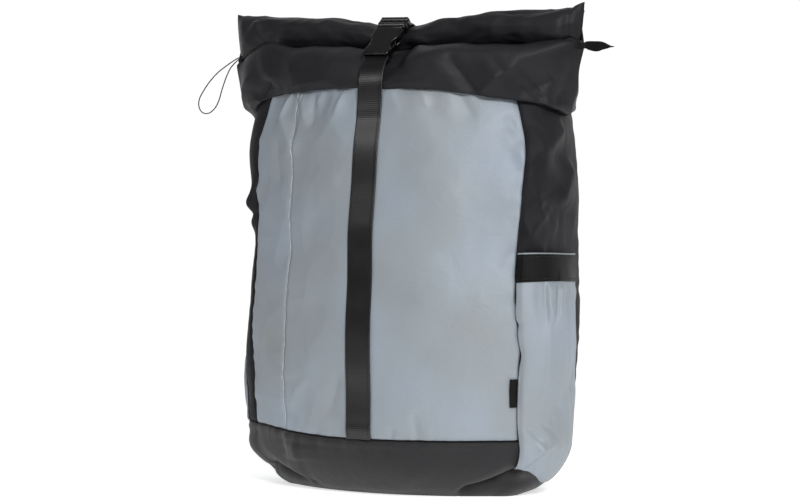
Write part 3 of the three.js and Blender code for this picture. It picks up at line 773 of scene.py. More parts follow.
def stitches(path, normal, pitch=4.2, length=3.2, thick=0.55):
    """Row of stitches: small spindles at even steps along a path, half sunk in the cloth."""
    run = running_length(path)
    at = np.arange(pitch / 2, run[-1], pitch)

    def at_steps(values):
        """Values given along the path, read at the stitches' places."""
        return np.stack([np.interp(at, run, values[:, i]) for i in range(3)], -1)

    along = unit(at_steps(np.gradient(path, axis=0)))
    out = unit(at_steps(normal))
    axes = np.stack([along, unit(np.cross(along, out)), out], 1)
    ends = np.linspace(-1, 1, 6)[:, None]
    shape = np.empty((6, 6, 3))
    shape[..., 0] = ends * length / 2
    shape[..., 1:] = thick / 2 * np.sqrt(1 - ends**4)[..., None] * circle(6)
    shape[..., 2] += 0.12 * (1 - ends**2)
    points = at_steps(path)[:, None, None] + np.einsum("rcj,njk->nrck", shape, axes)
    _, quads, uv = outward(grid(points[0], np.arange(7)[None], ends, closed=True))
    starts = shape[..., 0].size * np.arange(len(at))
    quads = (quads + starts[:, None, None]).reshape(-1, 4)
    return points.reshape(-1, 3), quads, np.tile(uv, (len(at), 1, 1))


# Pieces
def in_scene(name, data):
    """New object in the scene."""
    made = bpy.data.objects.new(name, data)
    bpy.context.scene.collection.objects.link(made)
    return made


def set_uv(mesh, uv):
    """Gives each corner of the mesh its place on the cloth."""
    mesh.uv_layers.new(name="cloth").data.foreach_set("uv", uv.astype(np.float32).ravel())


def dress(made, node=None):
    """Ties a piece to the root body and hides the solid that it stands for."""
    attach(made, "root")
    if node:
        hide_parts(node)
    return made


def piece(name, surface, material, node=None, thick=0.0):
    """Mesh object of a surface, with its poles and joins welded. thick gives an open sheet its cloth,
    on the inside."""
    points, quads, uv = surface
    mesh = bpy.data.meshes.new(name)
    mesh.from_pydata((points * MM).tolist(), [], quads.tolist())
    set_uv(mesh, uv)
    work = bmesh.new()
    work.from_mesh(mesh)
    bmesh.ops.remove_doubles(work, verts=work.verts, dist=1e-7)
    bmesh.ops.dissolve_degenerate(work, edges=work.edges, dist=1e-8)
    work.to_mesh(mesh)
    work.free()
    mesh.shade_smooth()
    mesh.materials.append(material)
    made = in_scene(name, mesh)
    if thick:
        solid = made.modifiers.new("cloth", "SOLIDIFY")
        solid.thickness = thick * MM
        solid.offset = -1
    return dress(made, node)


# Materials
def linear(hex_colour):
    """sRGB hex colour as linear RGBA."""
    srgb = np.array([int(hex_colour[i : i + 2], 16) for i in (1, 3, 5)]) / 255
    low, high = srgb / 12.92, ((srgb + 0.055) / 1.055) ** 2.4
    return (*np.where(srgb <= 0.04045, low, high).tolist(), 1.0)


def add(tree, kind, links, **settings):
    """Adds a node with its settings. links gives each socket a value or another node's output."""
    made = tree.nodes.new("ShaderNode" + kind)
    for name, value in settings.items():
        setattr(made, name, value)
    for socket, value in links.items():
        if isinstance(value, bpy.types.NodeSocket):
            tree.links.new(value, made.inputs[socket])
        else:
            made.inputs[socket].default_value = value
    return made


def calculate(tree, operation, *values):
    """Result of a sum on one to three numbers."""
    return add(tree, "Math", dict(enumerate(values)), operation=operation).outputs[0]


def finish_of(name, **sockets):
    """New material with its shader's own sockets set: the material and its tree."""
    made = bpy.data.materials.new(name)
    made.use_nodes = True
    shader = made.node_tree.nodes["Principled BSDF"]
    for socket, value in sockets.items():
        shader.inputs[socket.replace("_", " ")].default_value = value
    return made, made.node_tree


def drive(tree, **sockets):
    """Links outputs to the sockets of the material's shader."""
    shader = tree.nodes["Principled BSDF"]
    for socket, output in sockets.items():
        tree.links.new(output, shader.inputs[socket.replace("_", " ")])


def cloth_place(tree, period):
    """The piece's UV in periods of a pattern, as a vector and as its two numbers."""
    place = add(tree, "UVMap", {}, uv_map="cloth")
    scaled = add(tree, "VectorMath", {0: place.outputs["UV"], 1: (1 / period,) * 3}, operation="MULTIPLY")
    parts = add(tree, "SeparateXYZ", {0: scaled.outputs[0]})
    return scaled.outputs[0], parts.outputs["X"], parts.outputs["Y"]


def thread_wave(tree, number):
    """Sine of a number counted in turns."""
    return calculate(tree, "SINE", calculate(tree, "MULTIPLY", number, 2 * math.pi))


def noise(tree, place, detail, roughness=0.5, distortion=0.0, scale=1.0):
    """Soft noise over a place."""
    links = {"Vector": place, "Scale": scale, "Detail": detail}
    links.update({"Roughness": roughness, "Distortion": distortion})
    return add(tree, "TexNoise", links).outputs["Fac"]


def ramp(tree, value, low, high, to_low=0.0, to_high=1.0):
    """The range of a value from low to high, carried over to another range."""
    return add(tree, "MapRange", {0: value, 1: low, 2: high, 3: to_low, 4: to_high}).outputs[0]


def shades(tree, share, dark, light):
    """Colour between two shades."""
    return add(tree, "Mix", {0: share, 6: linear(dark), 7: linear(light)}, data_type="RGBA").outputs[2]


def relief_of(tree, height, distance, **under):
    """Relief of a height, in millimetres, over another relief where one is given as Normal."""
    return add(tree, "Bump", {"Height": height, "Distance": distance * MM, **under}).outputs[0]


def woven(name, dark, light, thread, relief, patch, roughness, **sockets):
    """Woven cloth: a plain weave of crossing threads as relief, and two close shades of one dye in soft
    patches and along single threads. The weave is drawn two or three times coarser than real, so that
    it shows."""
    made, tree = finish_of(name, **sockets)
    _, across, along = cloth_place(tree, thread)
    weave = calculate(tree, "MULTIPLY", thread_wave(tree, across), thread_wave(tree, along))
    patches = noise(tree, cloth_place(tree, patch)[0], 3.0, 0.55)
    crinkle = noise(tree, cloth_place(tree, 9.0)[0], 2.0)
    shade = calculate(tree, "MULTIPLY_ADD", weave, 0.12, ramp(tree, patches, 0.3, 0.7))
    gloss = ramp(tree, patches, 0.3, 0.7, roughness - 0.05, roughness + 0.05)
    fine = relief_of(tree, weave, relief)
    soft = relief_of(tree, crinkle, 0.5, Normal=fine)
    drive(tree, Base_Color=shades(tree, shade, dark, light), Roughness=gloss, Normal=soft)
    return made


def reflective_polyester():
    """Polyester with a smooth glass-bead coating: pale grey, satin, a little metallic, with cloudy
    shades of grey-blue and grey-green and a fine grain. The grain is drawn many times coarser than the
    beads, so that it shows."""
    made, tree = finish_of("bead_coated_polyester", Metallic=0.25, IOR=1.4)
    cloud = noise(tree, cloth_place(tree, 95.0)[0], 2.0, 0.45)
    grain = noise(tree, cloth_place(tree, 1.1)[0], 1.0)
    crinkle = noise(tree, cloth_place(tree, 16.0)[0], 3.0, distortion=0.6)
    colour = shades(tree, ramp(tree, cloud, 0.32, 0.68), "#898f92", "#8f98a3")
    speck = ramp(tree, grain, 0.3, 0.7, 0.96, 1.04)
    tinted = add(tree, "VectorMath", {0: colour, "Scale": speck}, operation="SCALE")
    gloss = ramp(tree, cloud, 0.3, 0.7, 0.57, 0.63)
    fine = relief_of(tree, grain, 0.05)
    soft = relief_of(tree, crinkle, 0.5, Normal=fine)
    drive(tree, Base_Color=tinted.outputs[0], Roughness=gloss, Normal=soft)
    return made


def ribbed_webbing(name, smoothest, roughest, specular, relief):
    """Polyester webbing: ribs across it every 1.8 mm, drawn a little coarser than real so that they
    show, crossed by long threads, black with paler worn crests."""
    made, tree = finish_of(name, IOR=1.42, Specular_IOR_Level=specular)
    rib = thread_wave(tree, cloth_place(tree, 1.8)[2])
    thread = thread_wave(tree, cloth_place(tree, 1.3)[1])
    height = calculate(tree, "MULTIPLY_ADD", thread, 0.35, rib)
    wear = noise(tree, cloth_place(tree, 26.0)[0], 4.0)
    worn = ramp(tree, calculate(tree, "MULTIPLY_ADD", rib, 0.2, wear), 0.2, 0.85)
    gloss = ramp(tree, wear, 0.3, 0.7, smoothest, roughest)
    colour = shades(tree, worn, "#080808", "#141414")
    drive(tree, Base_Color=colour, Roughness=gloss, Normal=relief_of(tree, height, relief))
    return made


def moulded_acetal():
    """Injection-moulded acetal: black, satin, with the fine spark-eroded grain of its mould, drawn
    several times coarser than real so that it shows."""
    black = linear("#060607")
    made, tree = finish_of("moulded_acetal", Base_Color=black, IOR=1.42, Specular_IOR_Level=0.6)
    place = add(tree, "TexCoord", {}).outputs["Object"]
    grain = noise(tree, place, 2.0, scale=1 / (0.9 * MM))
    scuff = noise(tree, place, 3.0, scale=1 / (11 * MM))
    drive(tree, Roughness=ramp(tree, scuff, 0.3, 0.7, 0.2, 0.28), Normal=relief_of(tree, grain, 0.025))
    return made


def spacer_mesh():
    """Knitted spacer mesh over foam: matt black, with round holes every 3.4 mm in uneven rows."""
    made, tree = finish_of("knitted_spacer_mesh", Roughness=0.85, IOR=1.5, Sheen_Weight=0.3,
                           Sheen_Roughness=0.5)
    links = {"Vector": cloth_place(tree, 3.4)[0], "Scale": 1.0, "Randomness": 0.15}
    holes = add(tree, "TexVoronoi", links, voronoi_dimensions="2D")
    rim = ramp(tree, holes.outputs["Distance"], 0.2, 0.42)
    drive(tree, Base_Color=shades(tree, rim, "#0e0e0f", "#2c2c2e"), Normal=relief_of(tree, rim, 0.5))
    return made


def braided_cord():
    """Flat-braided polyester cord: black, with the slanting strands of its braid every 1.6 mm."""
    made, tree = finish_of("flat_braided_cord", Roughness=0.6, IOR=1.5)
    _, across, along = cloth_place(tree, 1.6)
    strand = thread_wave(tree, calculate(tree, "ADD", across, along))
    colour = shades(tree, ramp(tree, strand, -1.0, 1.0), "#1c1c1d", "#333334")
    drive(tree, Base_Color=colour, Normal=relief_of(tree, strand, 0.15))
    return made


GREY = reflective_polyester()
# Nylon taffeta: fine plain weave, satin, so that folds show a soft sheen.
NYLON = woven("satin_nylon_taffeta", "#1d1d20", "#252528", 1.7, 0.04, 45, 0.47, IOR=1.4,
              Specular_IOR_Level=0.2)
# The same cloth on the two sides, hardly glossy, its shades a little darker than the collar's as painted
# shade, so that the sides read darker.
SIDE_NYLON = woven("matt_nylon_taffeta", "#1b1b1e", "#232326", 1.7, 0.04, 45, 0.56, IOR=1.4,
                   Specular_IOR_Level=0.13)
# Polyester oxford: coarser matt basket weave, dark grey.
OXFORD = woven("matt_polyester_oxford", "#19191b", "#202022", 2.1, 0.06, 38, 0.72, IOR=1.38,
               Sheen_Weight=0.15, Sheen_Roughness=0.5)
# Polyester tape of the plain tab and the zip's end: close black weave.
TAPE = woven("plain_woven_tape", "#09090a", "#101011", 1.3, 0.06, 14, 0.6, IOR=1.4,
             Specular_IOR_Level=0.2)
# Spun sewing thread: black, fuzzy, hardly glossy.
THREAD = woven("spun_sewing_thread", "#151516", "#222223", 0.8, 0.08, 6, 0.7, IOR=1.4)
# The front's coated cloth folded to a narrow welt, its shades much paler than the front's: a painted
# highlight along the fold.
WELT = woven("bead_coated_welt", "#b2b8bd", "#d9dde0", 1.2, 0.05, 12, 0.4, IOR=1.5, Metallic=0.2)
# Tightly woven webbing with a satin face, and the duller elastic of the pockets' mouths.
WEB = ribbed_webbing("ribbed_polyester_webbing", 0.31, 0.36, 0.7, 0.016)
ELASTIC = ribbed_webbing("ribbed_elastic", 0.48, 0.6, 0.16, 0.07)
ACETAL = moulded_acetal()
MESH = spacer_mesh()
BRAID = braided_cord()


# Camera and cord come first
def make_camera():
    """Level camera at the picture's angle, aimed at the bag's middle line at its own height."""
    data = bpy.data.cameras.new("camera")
    data.sensor_width = SENSOR
    data.lens = SENSOR * PIXELS_PER_MM * CAMERA_AWAY / IMAGE_WIDE
    data.clip_end = 100
    camera = in_scene("camera", data)
    back = Vector((math.sin(CAMERA_TURN), -math.cos(CAMERA_TURN), 0))
    camera.location = back * CAMERA_AWAY * MM + Vector((0, 0, CAMERA_HEIGHT * MM))
    camera.rotation_mode = "QUATERNION"
    camera.rotation_quaternion = (-back).to_track_quat("-Z", "Y")
    bpy.context.scene.camera = camera


def make_zip_loop():
    """Zip pull: a flat cord, an ellipse nearly twice as wide as thick along its route out and back."""
    route = smooth_table([[i, *p] for i, p in enumerate(LOOP)])
    path = route(np.linspace(0, len(LOOP) - 1, 160)).T
    profile = LOOP_CORD / 2 * circle(12) * [1.1, 0.62]
    made = piece("zip_loop_cord", sweep(path, (0.3, -0.95, 0), profile), BRAID, "zip_pull_loop")


# Walls
def wall_top(around):
    """Height of a wall's upper edge, tucked under the collar's lip."""
    z_front, z_end, z_back = collar(0.0)[7:10]
    t = np.abs(around)
    front = t <= 1.5
    near = np.where(front, t, 3 - t)
    bend = np.where(front, FRONT_BEND, BACK_BEND)
    far = np.where(near <= 1, bend * near, bend + (1 - bend) * 2 * (near - 1))
    fall = far ** np.where(front & (around < 0), 4, 2)
    return mix(np.where(front, z_front, z_back), z_end, fall) + WALL_TUCK


def wall_panel(name, start, end, columns, material):
    """Panel of the wall: place round the bag runs from its start edge to its end edge, and height from
    the base seam to the wall's top. Each edge is a place, or a seam that gives one for each height."""
    share = np.linspace(0, 1, columns)[None]
    rise = np.linspace(0, 1, 170)[:, None]
    z = BASE_SEAM - 1 + (330 - BASE_SEAM) * rise
    first, last = (edge(z)[0] if callable(edge) else edge for edge in (start, end))
    around = mix(first, last, share)
    z = mix(seam_height(around) - 1, wall_top(around), rise)
    points = wall(around, z)
    made = piece(name, grid(points, girth(around), z), material, name.removesuffix("_cloth"), CLOTH)


def make_walls():
    """Front in two panels, the two sides, and the welt in the front's seam: a thread of uneven
    thickness on the seam."""
    seam_gap = 0.004
    wall_panel("front_panel_cloth", hidden_seam, side_seam, 130, GREY)
    wall_panel("front_side_panel_cloth", -1, hidden_seam, 40, GREY)
    wall_panel("right_gusset_cloth", side_seam, 2 - seam_gap, 80, SIDE_NYLON)
    wall_panel("left_gusset_cloth", -2 + seam_gap, -1, 80, SIDE_NYLON)
    z = np.linspace(60, 374, 180)
    path = wall(hidden_seam(z)[0], z, 1.0)
    fat = 0.16 + 0.08 * uneven(z, np.full_like(z, 5), 9, 4, 42)
    piece("front_seam_welt", sweep(path, (1, 0, 0), fat[:, None, None] * circle(10)), WELT)


def make_base():
    """Base: the ring of the wall's places carried from the middle of the flat underside out and up to
    the seam, and a round black piping along the seam, which also stands in for the seam's dark shadow
    line as painted shade."""
    around = np.linspace(-3, 3, 320, endpoint=False)[None]
    spread = np.linspace(0, 1, 8)[:, None]
    floor = smooth_skin(around, np.zeros_like(spread)) * spread[..., None]
    rise = np.linspace(0, 1, 64)[1:, None]
    lap = 0.9 * smoothstep(rise, 0.84, 0.94)
    side = wall(around, seam_height(around) * rise**1.15, lap)
    run = girth(np.linspace(-3, 3, 321))[None]
    height = np.concatenate([(spread - 1) * BACK_DEEP, BASE_SEAM * rise])
    surface = grid(np.concatenate([floor, side]), run, height, closed=True)
    made = piece("base_cloth", surface, OXFORD, "base", CLOTH)
    # Black tape along the seam: piping, and also the seam's shadow line as painted shade.
    around = np.linspace(-3, 3, 400)
    path = wall(around, seam_height(around) + 0.5, 0.75)
    piece("base_seam_piping_and_shadow_line", sweep(path, (0, 0, 1), 0.75 * circle(10)), TAPE)


def make_rolled_top():
    """Collar and roll in one cloth. The collar's lip curls under in a half circle as wide as it stands
    off the wall; above it the ring closes to the ridge, and from there the doubled cloth runs up the
    back and rolls up."""
    across, rows, curl_rows = 190, 58, 9
    even = np.linspace(-1, 1, across)
    reach = mix(np.sin(even * math.pi / 2), even, 0.6)
    up = np.linspace(0, 4, rows)[:, None]
    curl = np.radians(np.linspace(180, 0, curl_rows))[:-1, None, None]
    off_wall, flare = collar(0.0)[1:3]
    layers = []
    for front, along in ((True, reach), (False, reach[::-1])):
        face = collar_skin(along[None], front, up)
        down = -unit(face[1] - face[0])
        out = collar_normal(along, front, np.zeros_like(along))
        radius = (off_wall + flare * np.abs(along) ** 6 + 0.8)[:, None] / 2
        under = face[0] + radius * (out * (np.cos(curl) - 1) + down * np.sin(curl))
        layers.append(np.concatenate([under, face])[:, :-1])
    points = np.concatenate(layers, axis=1)
    ring = np.linspace(0, 720, points.shape[1] + 1)[None]
    height = np.concatenate([np.linspace(-9, 0, curl_rows)[:-1], np.linspace(0, 78, rows)])[:, None]
    collar_part = grid(points, ring, height, closed=True)

    x = np.linspace(ROLL_END_RIGHT, ROLL_END_LEFT, 180)[None]
    turn = np.linspace(ROLL_FROM, ROLL_TO, 130)[:, None]
    spiral = roll_form(x, turn, roll_relief(x, turn))
    lean = 2.5 * smoothstep(x, 160, 182) - 2.4 * smoothstep(-x, 160, 181)
    spiral[..., 0] -= lean * (1 - np.sin(np.radians(turn)))
    ridge_y = mix(14, 6, np.minimum(np.abs(x / RIDGE_HALF), 1) ** 3)
    ridge = np.stack([x, ridge_y, np.full_like(x, RIDGE_HEIGHT)], -1)
    length = np.concatenate([[[-12]], ROLL_ARC * turn])
    surface = join([collar_part, grid(np.concatenate([ridge, spiral]), x, length)])
    made = piece("rolled_top_cloth", surface, NYLON, "roll_top", CLOTH)


# Pockets
def pocket_point(side, share, z, raised):
    """Pocket on the right, side 1, or the left, side -1. share runs from its front edge, which is the
    front's seam on the right and leans back with height on the left, to its back edge. It stands off
    the wall in half a wave of share, most at its mouth. Its folds end at the band, which keeps its
    mouth even."""
    right = side > 0
    opened = smoothstep(z, 30, BAND_BOTTOM)
    if right:
        front = side_seam(z)[0] - 0.002
        back = POCKET_BACK - (0.115 * smoothstep(z, 88, 116) - 0.045 * smoothstep(z, 150, 190))
        filled = mix(0.6, 1, smoothstep(z, 60, BAND_BOTTOM)) * smoothstep(z, 12, 55)
    else:
        front = mix(LEFT_POCKET_LOW, LEFT_POCKET_HIGH, smoothstep(z, 85, 150))
        back = -POCKET_BACK
        filled = opened
    around = mix(front, back, share)
    run = girth(around)
    edge = np.minimum(share, 1 - share) * np.abs(girth(back) - girth(front))
    loose = 1 - smoothstep(z, 184, BAND_BOTTOM + 3)
    ripples = uneven(run, 0.12 * z, 30, 9, 51 + side)
    at_edges = 0.5 * hill(z, 184, 14) + 0.5 * np.exp(-np.abs(edge) / 8)
    creases = ripples * (0.55 * (1 - 0.75 * opened) + at_edges)
    if right:
        lines = 1.7 * wall_folds(run, z, POCKET_FOLDS) + wall_folds(run, z, POCKET_VALLEY, 0.8)
        lines = lines + 0.4 * crumple(run, 0.6 * z, 50, 53) * smoothstep(z, 60, 90)
        creases = creases + lines * mix(0.1, 1, smoothstep(z, 24, 36))
    out = 1 + POCKET_BULGE * filled * np.sin(math.pi * np.clip(share, 0, 1) ** 0.75) + raised
    out = out - 1.2 * hill(edge, 0, 3) + creases * mix(0.15, 1, loose)
    if not right:
        out = out - 2.2 * smoothstep(z, 82, 57)
    dents = wall_relief(around, z)
    follow = mix(1, 0.2, smoothstep(z, 28, 48)) * mix(0.2, 1, loose)
    deepest = mix(-20, -1.5, smoothstep(z, 30, 46))
    on_wall = mix(0, dents + 0.9 + raised / 2, loose)
    out = np.maximum(out + follow * np.maximum(dents, deepest), on_wall)
    return off_skin(around, z, out), run


def make_pockets():
    """Pockets, each with the elastic at its mouth and two rows of stitches on it. The cloth's lower
    edge falls in a smooth step from its front corner, and the elastic thins along its two edges with a
    high power of the height."""
    for name, (side, corner, fall_from, fall_to) in POCKETS.items():
        share = np.linspace(0, 1, 130)[None, ::side]
        lowest = mix(corner, POCKET_BOTTOM, smoothstep(share, fall_from, fall_to))
        z = mix(lowest, POCKET_TOP - 0.6, np.linspace(0, 1, 160)[:, None])
        points, run = pocket_point(side, share, z, 1.5)
        node = name + "_pocket"
        cloth = piece(node + "_cloth", grid(points, run, z), GREY, node, POCKET_CLOTH)
        share = np.linspace(-0.004, 0.93, 90)[None, ::side]
        z = np.linspace(BAND_BOTTOM, BAND_TOP, 22)[:, None]
        thick = 3.1 - 0.7 * np.abs((z - (BAND_BOTTOM + BAND_TOP) / 2) / (WEBBING / 2)) ** 12
        points, run = pocket_point(side, share, z, thick)
        node = name + "_pocket_band"
        piece(node + "_web", grid(points, z - 205, run), ELASTIC, node, 1.3)
        rows = []
        for height in (BAND_BOTTOM + 2.4, BAND_TOP - 2.4):
            line, _ = pocket_point(side, share[0], np.full(share.size, height), 3.15)
            rows.append(stitches(line, line * [1, 1, 0]))
        piece(node + "_stitches", join(rows), THREAD)


# Webbing
def web_profile(wide, thick):
    """Section of webbing: a flat rounded rectangle, a little thicker along its two selvedges."""
    edge = rounded_rectangle(wide, thick, thick * 0.48, 5)
    quarter = len(edge) // 4
    inner = np.linspace(wide / 2 - thick, thick - wide / 2, 22)
    face = np.stack([inner, np.full_like(inner, thick / 2)], -1)
    ring = np.concatenate([edge[:quarter], face, edge[quarter : 3 * quarter], -face, edge[3 * quarter :]])
    swell = 1 + 0.22 * hill(np.abs(ring[:, 0]) - wide / 2, -1.6, 0.9)
    return ring * np.stack([np.ones_like(swell), swell], -1)


def smooth_path(points, step):
    """Curve through points, cubic over their running length, in even steps."""
    run = running_length(points)
    curve = smooth_table(np.column_stack([run, points]))
    return curve(np.linspace(0, run[-1], int(run[-1] / step) + 2)).T


def web(name, path, level, wide, thick, node):
    """Webbing: its section carried along a path with its width along level."""
    piece(name, sweep(path, level, web_profile(wide, thick)), WEB, node)


def strap(name, path, start, end):
    """Wide webbing in the bag's middle plane along a path, with two rows of stitches over a share of
    its length."""
    path = path * [0, 1, 1]
    path = smooth_path(path, 1.5)
    web(name + "_web", path, (1, 0, 0), WEBBING, WEB_THICK, name)
    out = np.cross([1.0, 0, 0], unit(np.gradient(path, axis=0)))
    keep = slice(int(start * len(path)), int(end * len(path)))
    rows = []
    for side in (-1, 1):
        line = path + [side * (WEBBING / 2 - 2.3), 0, 0] + out * (WEB_THICK / 2 + 0.1)
        rows.append(stitches(line[keep], out[keep]))
    piece(name + "_stitches", join(rows), THREAD)


def make_straps():
    """Front strap, up the middle of the wall and over the collar into the buckle, and back strap, from
    the buckle over the roll and down the back of the collar to the back panel."""
    z = np.linspace(BASE_SEAM + 0.5, 341, 40)
    on_wall = wall(np.zeros_like(z), z, 0.25 + WEB_THICK / 2)
    over = STRAP_OVER + [along_buckle(a, -0.5) for a in (-46, -42, -38)]
    strap("front_strap", np.concatenate([on_wall, [[0, *p] for p in over]]), 0.01, 0.76)

    start = [[0, *along_buckle(a, -0.5)] for a in (2, 9)]
    over = roll_form(np.full(7, 14.0), np.linspace(108, 6, 7), 3.4)
    back = collar_skin(np.zeros(7), False, np.array([3.4, 3, 2.5, 2, 1.5, 1, 0.5])) + [0, 1.6, 1.4]
    end = [[0, body(float(z))[6] + off, z] for z, off in STRAP_DOWN]
    strap("back_strap", np.concatenate([start, over, back, end]), 0.84, 1)


# Buckle
def on_buckle(surface):
    """A surface in the buckle's own axes, across, along and out, set in its place on the bag with its
    lean. It narrows towards its lower end and widens a little at the plug."""
    points, quads, uv = surface
    x, along, out = points.T
    x = x * mix(0.93, 1, smoothstep(along, -46, -24)) * mix(1, 1.05, smoothstep(along, -12, -4)) + 0.5
    above = along + 20
    y, z = along_buckle(above * math.cos(BUCKLE_LEAN) - x * math.sin(BUCKLE_LEAN) - 21.5, out - 0.4)
    x = x * math.cos(BUCKLE_LEAN) + above * math.sin(BUCKLE_LEAN) + 0.6
    return np.stack([x, y, z], -1), quads, uv


def waisted(wide, low, high, corner, waist_from, waist_to, waist):
    """Outline of a buckle's face: a rectangle with round corners and an arc cut into each side."""
    ring = rounded_rectangle(2 * wide, high - low, corner, 6) + [0, (low + high) / 2]
    side_y = np.linspace(low + corner, high - corner, 26)[1:-1]
    bite = np.sin(math.pi * np.clip((side_y - waist_from) / (waist_to - waist_from), 0, 1))
    right = np.stack([wide - waist * bite, side_y], -1)
    left = (right * [-1, 1])[::-1]
    half = len(ring) // 2
    return np.concatenate([ring[:half], left, ring[half:], right])


def bar(x0, x1, a0, a1, low, high, corner=1.0, bevel=0.7):
    """Straight moulded bar: a plate with round corners."""
    outline = rounded_rectangle(x1 - x0, a1 - a0, corner, 4) + [(x0 + x1) / 2, (a0 + a1) / 2]
    return plate(outline, low, high, bevel)


def bar_pair(x0, x1, *rest):
    """The same bar on the left and on the right."""
    return [bar(-x1, -x0, *rest), bar(x0, x1, *rest)]


def grip(low, high, foot, crest):
    """Raised grip across a buckle: a bar whose lower side rises to its crest in a shallow arc."""
    lean = np.radians(np.linspace(39, 27, 12))
    rise = np.concatenate([[0], np.cumsum(np.sin(lean))])
    run = np.concatenate([[0], np.cumsum(np.cos(lean))])
    slope = high - low - 1.6
    along = low + slope * run / run[-1]
    out = crest - slope * (rise[-1] - rise) / run[-1]
    along = np.concatenate([[low], along, [high - 0.1, high, high]])
    out = np.concatenate([[foot], out, [crest - 0.05, crest - 0.4, foot]])
    middle = np.array([(low + high) / 2, (foot + crest) / 2])
    path = np.array([[x, *middle] for x in (-13.2, -13.1, 0, 13.1, 13.2)])
    return sweep(path, (0, 1, 0), np.stack([along - middle[0], middle[1] - out], -1))


def make_buckle():
    """Side-release buckle. Socket: two waisted plates joined by bars. Plug: a frame of bars with two
    grips, a guide and two prongs, each a plate of a smooth outline, with three ribs on the right one."""
    face = waisted(14.5, -44.5, -8, 3.2, -38, -21, 3.4)
    socket = [
        plate(face, 2.3, 4.6, 1.0),
        plate(face, -4.6, -2.3, 1.0),
        bar(-14.2, 14.2, -36.5, -32, -3, 3),
        bar(-14.3, 14.3, -43.8, -38.5, 1.3, 4.2, 1.4),
        *bar_pair(12, 14.3, -43.5, -37.5, -3, 3),
        *bar_pair(12, 14.3, -21, -8.2, -3, 3),
    ]
    piece("buckle_socket", on_buckle(join(socket)), ACETAL, "buckle_female")
    prong = smooth_path(PRONG + PRONG[:1], 0.8)[:-1]
    plug = [
        bar(-14.5, 14.5, -7.6, -0.6, -4, 4, 2.0, 1.1),
        *bar_pair(11.9, 14.5, -2, 6, -3.8, 3.8, 1.2),
        grip(2.7, 6.3, 0.4, 4.8),
        bar(-13, 13, 2.6, 5.8, -4.0, -2.0, 1.2, 0.8),
        grip(-5.0, -1.2, 2.0, 5.4),
        bar(-2.5, 2.5, -30, -7, -2, 2, 1.5),
        plate(prong[::-1], -2.1, 2.1, 0.6),
        plate(prong * [-1, 1], -2.1, 2.1, 0.6),
    ]
    plug += [bar(13.2, 14.7, a, a + 0.9, -1.8, 1.8, 0.4, 0.3) for a in (-32.4, -30.6, -28.8)]
    piece("buckle_plug", on_buckle(join(plug)), ACETAL, "buckle_male")


# Small trims
def make_side_label():
    """Side label: a rectangle of the wall that lifts off it to its free edge, most at half height."""
    share = np.linspace(0, 1, 14)[None]
    rise = np.linspace(0, 1, 26)[:, None]
    z = mix(LABEL_BOTTOM, LABEL_TOP, rise)
    around = mix(LABEL_LEFT, LABEL_RIGHT, share) + 0 * z
    lift = 1.5 + 0.9 * (1 - share) ** 2 + 0.5 * np.sin(rise * math.pi) * (1 - share)
    surface = grid(wall(around, z, lift), girth(around), z)
    piece("side_label_tab", surface, TAPE, "side_label", 0.8)


def make_zip_end():
    """Zip's end tab: a flat ellipse carried outwards, as tall as the table of its two edges says."""
    x = np.linspace(TAB[0][0], TAB[-1][0], 60)
    high, low = smooth_table(TAB)(x)
    half = np.maximum((high - low) / 2, 0.15)
    profile = circle(20) * np.stack([half, np.full_like(half, 0.75)], -1)[:, None]
    on_collar = mix(-31, 5, (x / COLLAR_HALF) ** 3) - 2.5
    y = mix(on_collar, 6.2 - 0.8 * np.sin((x - 181) / 12), smoothstep(x, 176, 185))
    path = np.stack([x, y, (high + low) / 2], -1)
    piece("zip_end_tape", sweep(path, (0, 0, 1), profile), TAPE, "zip_end_tab")


# Back: pads, straps and loop
def coordinates(mesh):
    """The mesh's points in metres."""
    flat = np.zeros(len(mesh.vertices) * 3, np.float32)
    mesh.vertices.foreach_get("co", flat)
    return flat.reshape(-1, 3).astype(float)


def inflate(name, surface, voxel, pressure, cap, pinned, node):
    """Padded piece: a closed shape is remeshed in even voxels and swells as cloth under inner pressure,
    held where pinned says, each point moving cap at most; then it is smoothed by one subdivision."""
    rough = piece(name + "_rough", surface, MESH)
    remesh = rough.modifiers.new("voxels", "REMESH")
    remesh.mode = "VOXEL"
    remesh.voxel_size = voxel * MM
    mesh = bpy.data.meshes.new_from_object(rough.evaluated_get(bpy.context.evaluated_depsgraph_get()))
    bpy.data.objects.remove(rough)
    mesh.name = name
    made = in_scene(name, mesh)
    points = coordinates(mesh)
    held = made.vertex_groups.new(name="held")
    held.add(np.flatnonzero(pinned(points / MM)).tolist(), 1.0, "REPLACE")
    cloth = made.modifiers.new("cloth", "CLOTH")
    cloth.settings.vertex_group_mass = "held"
    cloth.settings.use_pressure = True
    cloth.settings.uniform_pressure_force = pressure
    cloth.settings.effector_weights.gravity = 0
    cloth.settings.quality = 5
    cloth.point_cache.frame_start, cloth.point_cache.frame_end = 1, 20
    for step in range(1, 21):
        bpy.context.scene.frame_set(step)
    swollen = made.evaluated_get(bpy.context.evaluated_depsgraph_get()).to_mesh()
    moved = coordinates(swollen) - points
    made.modifiers.remove(cloth)
    bpy.context.scene.frame_set(1)
    far = np.linalg.norm(moved, axis=1, keepdims=True)
    points = points + moved * np.minimum(1, cap * MM / np.maximum(far, 1e-9))
    mesh.vertices.foreach_set("co", points.astype(np.float32).ravel())
    corner = np.zeros(len(mesh.loops), np.int32)
    mesh.loops.foreach_get("vertex_index", corner)
    set_uv(mesh, points[corner][:, [0, 2]] / MM)
    mesh.materials.clear()
    mesh.materials.append(MESH)
    mesh.shade_smooth()
    smooth = made.modifiers.new("smooth", "SUBSURF")
    smooth.levels = smooth.render_levels = 1
    return dress(made, node)


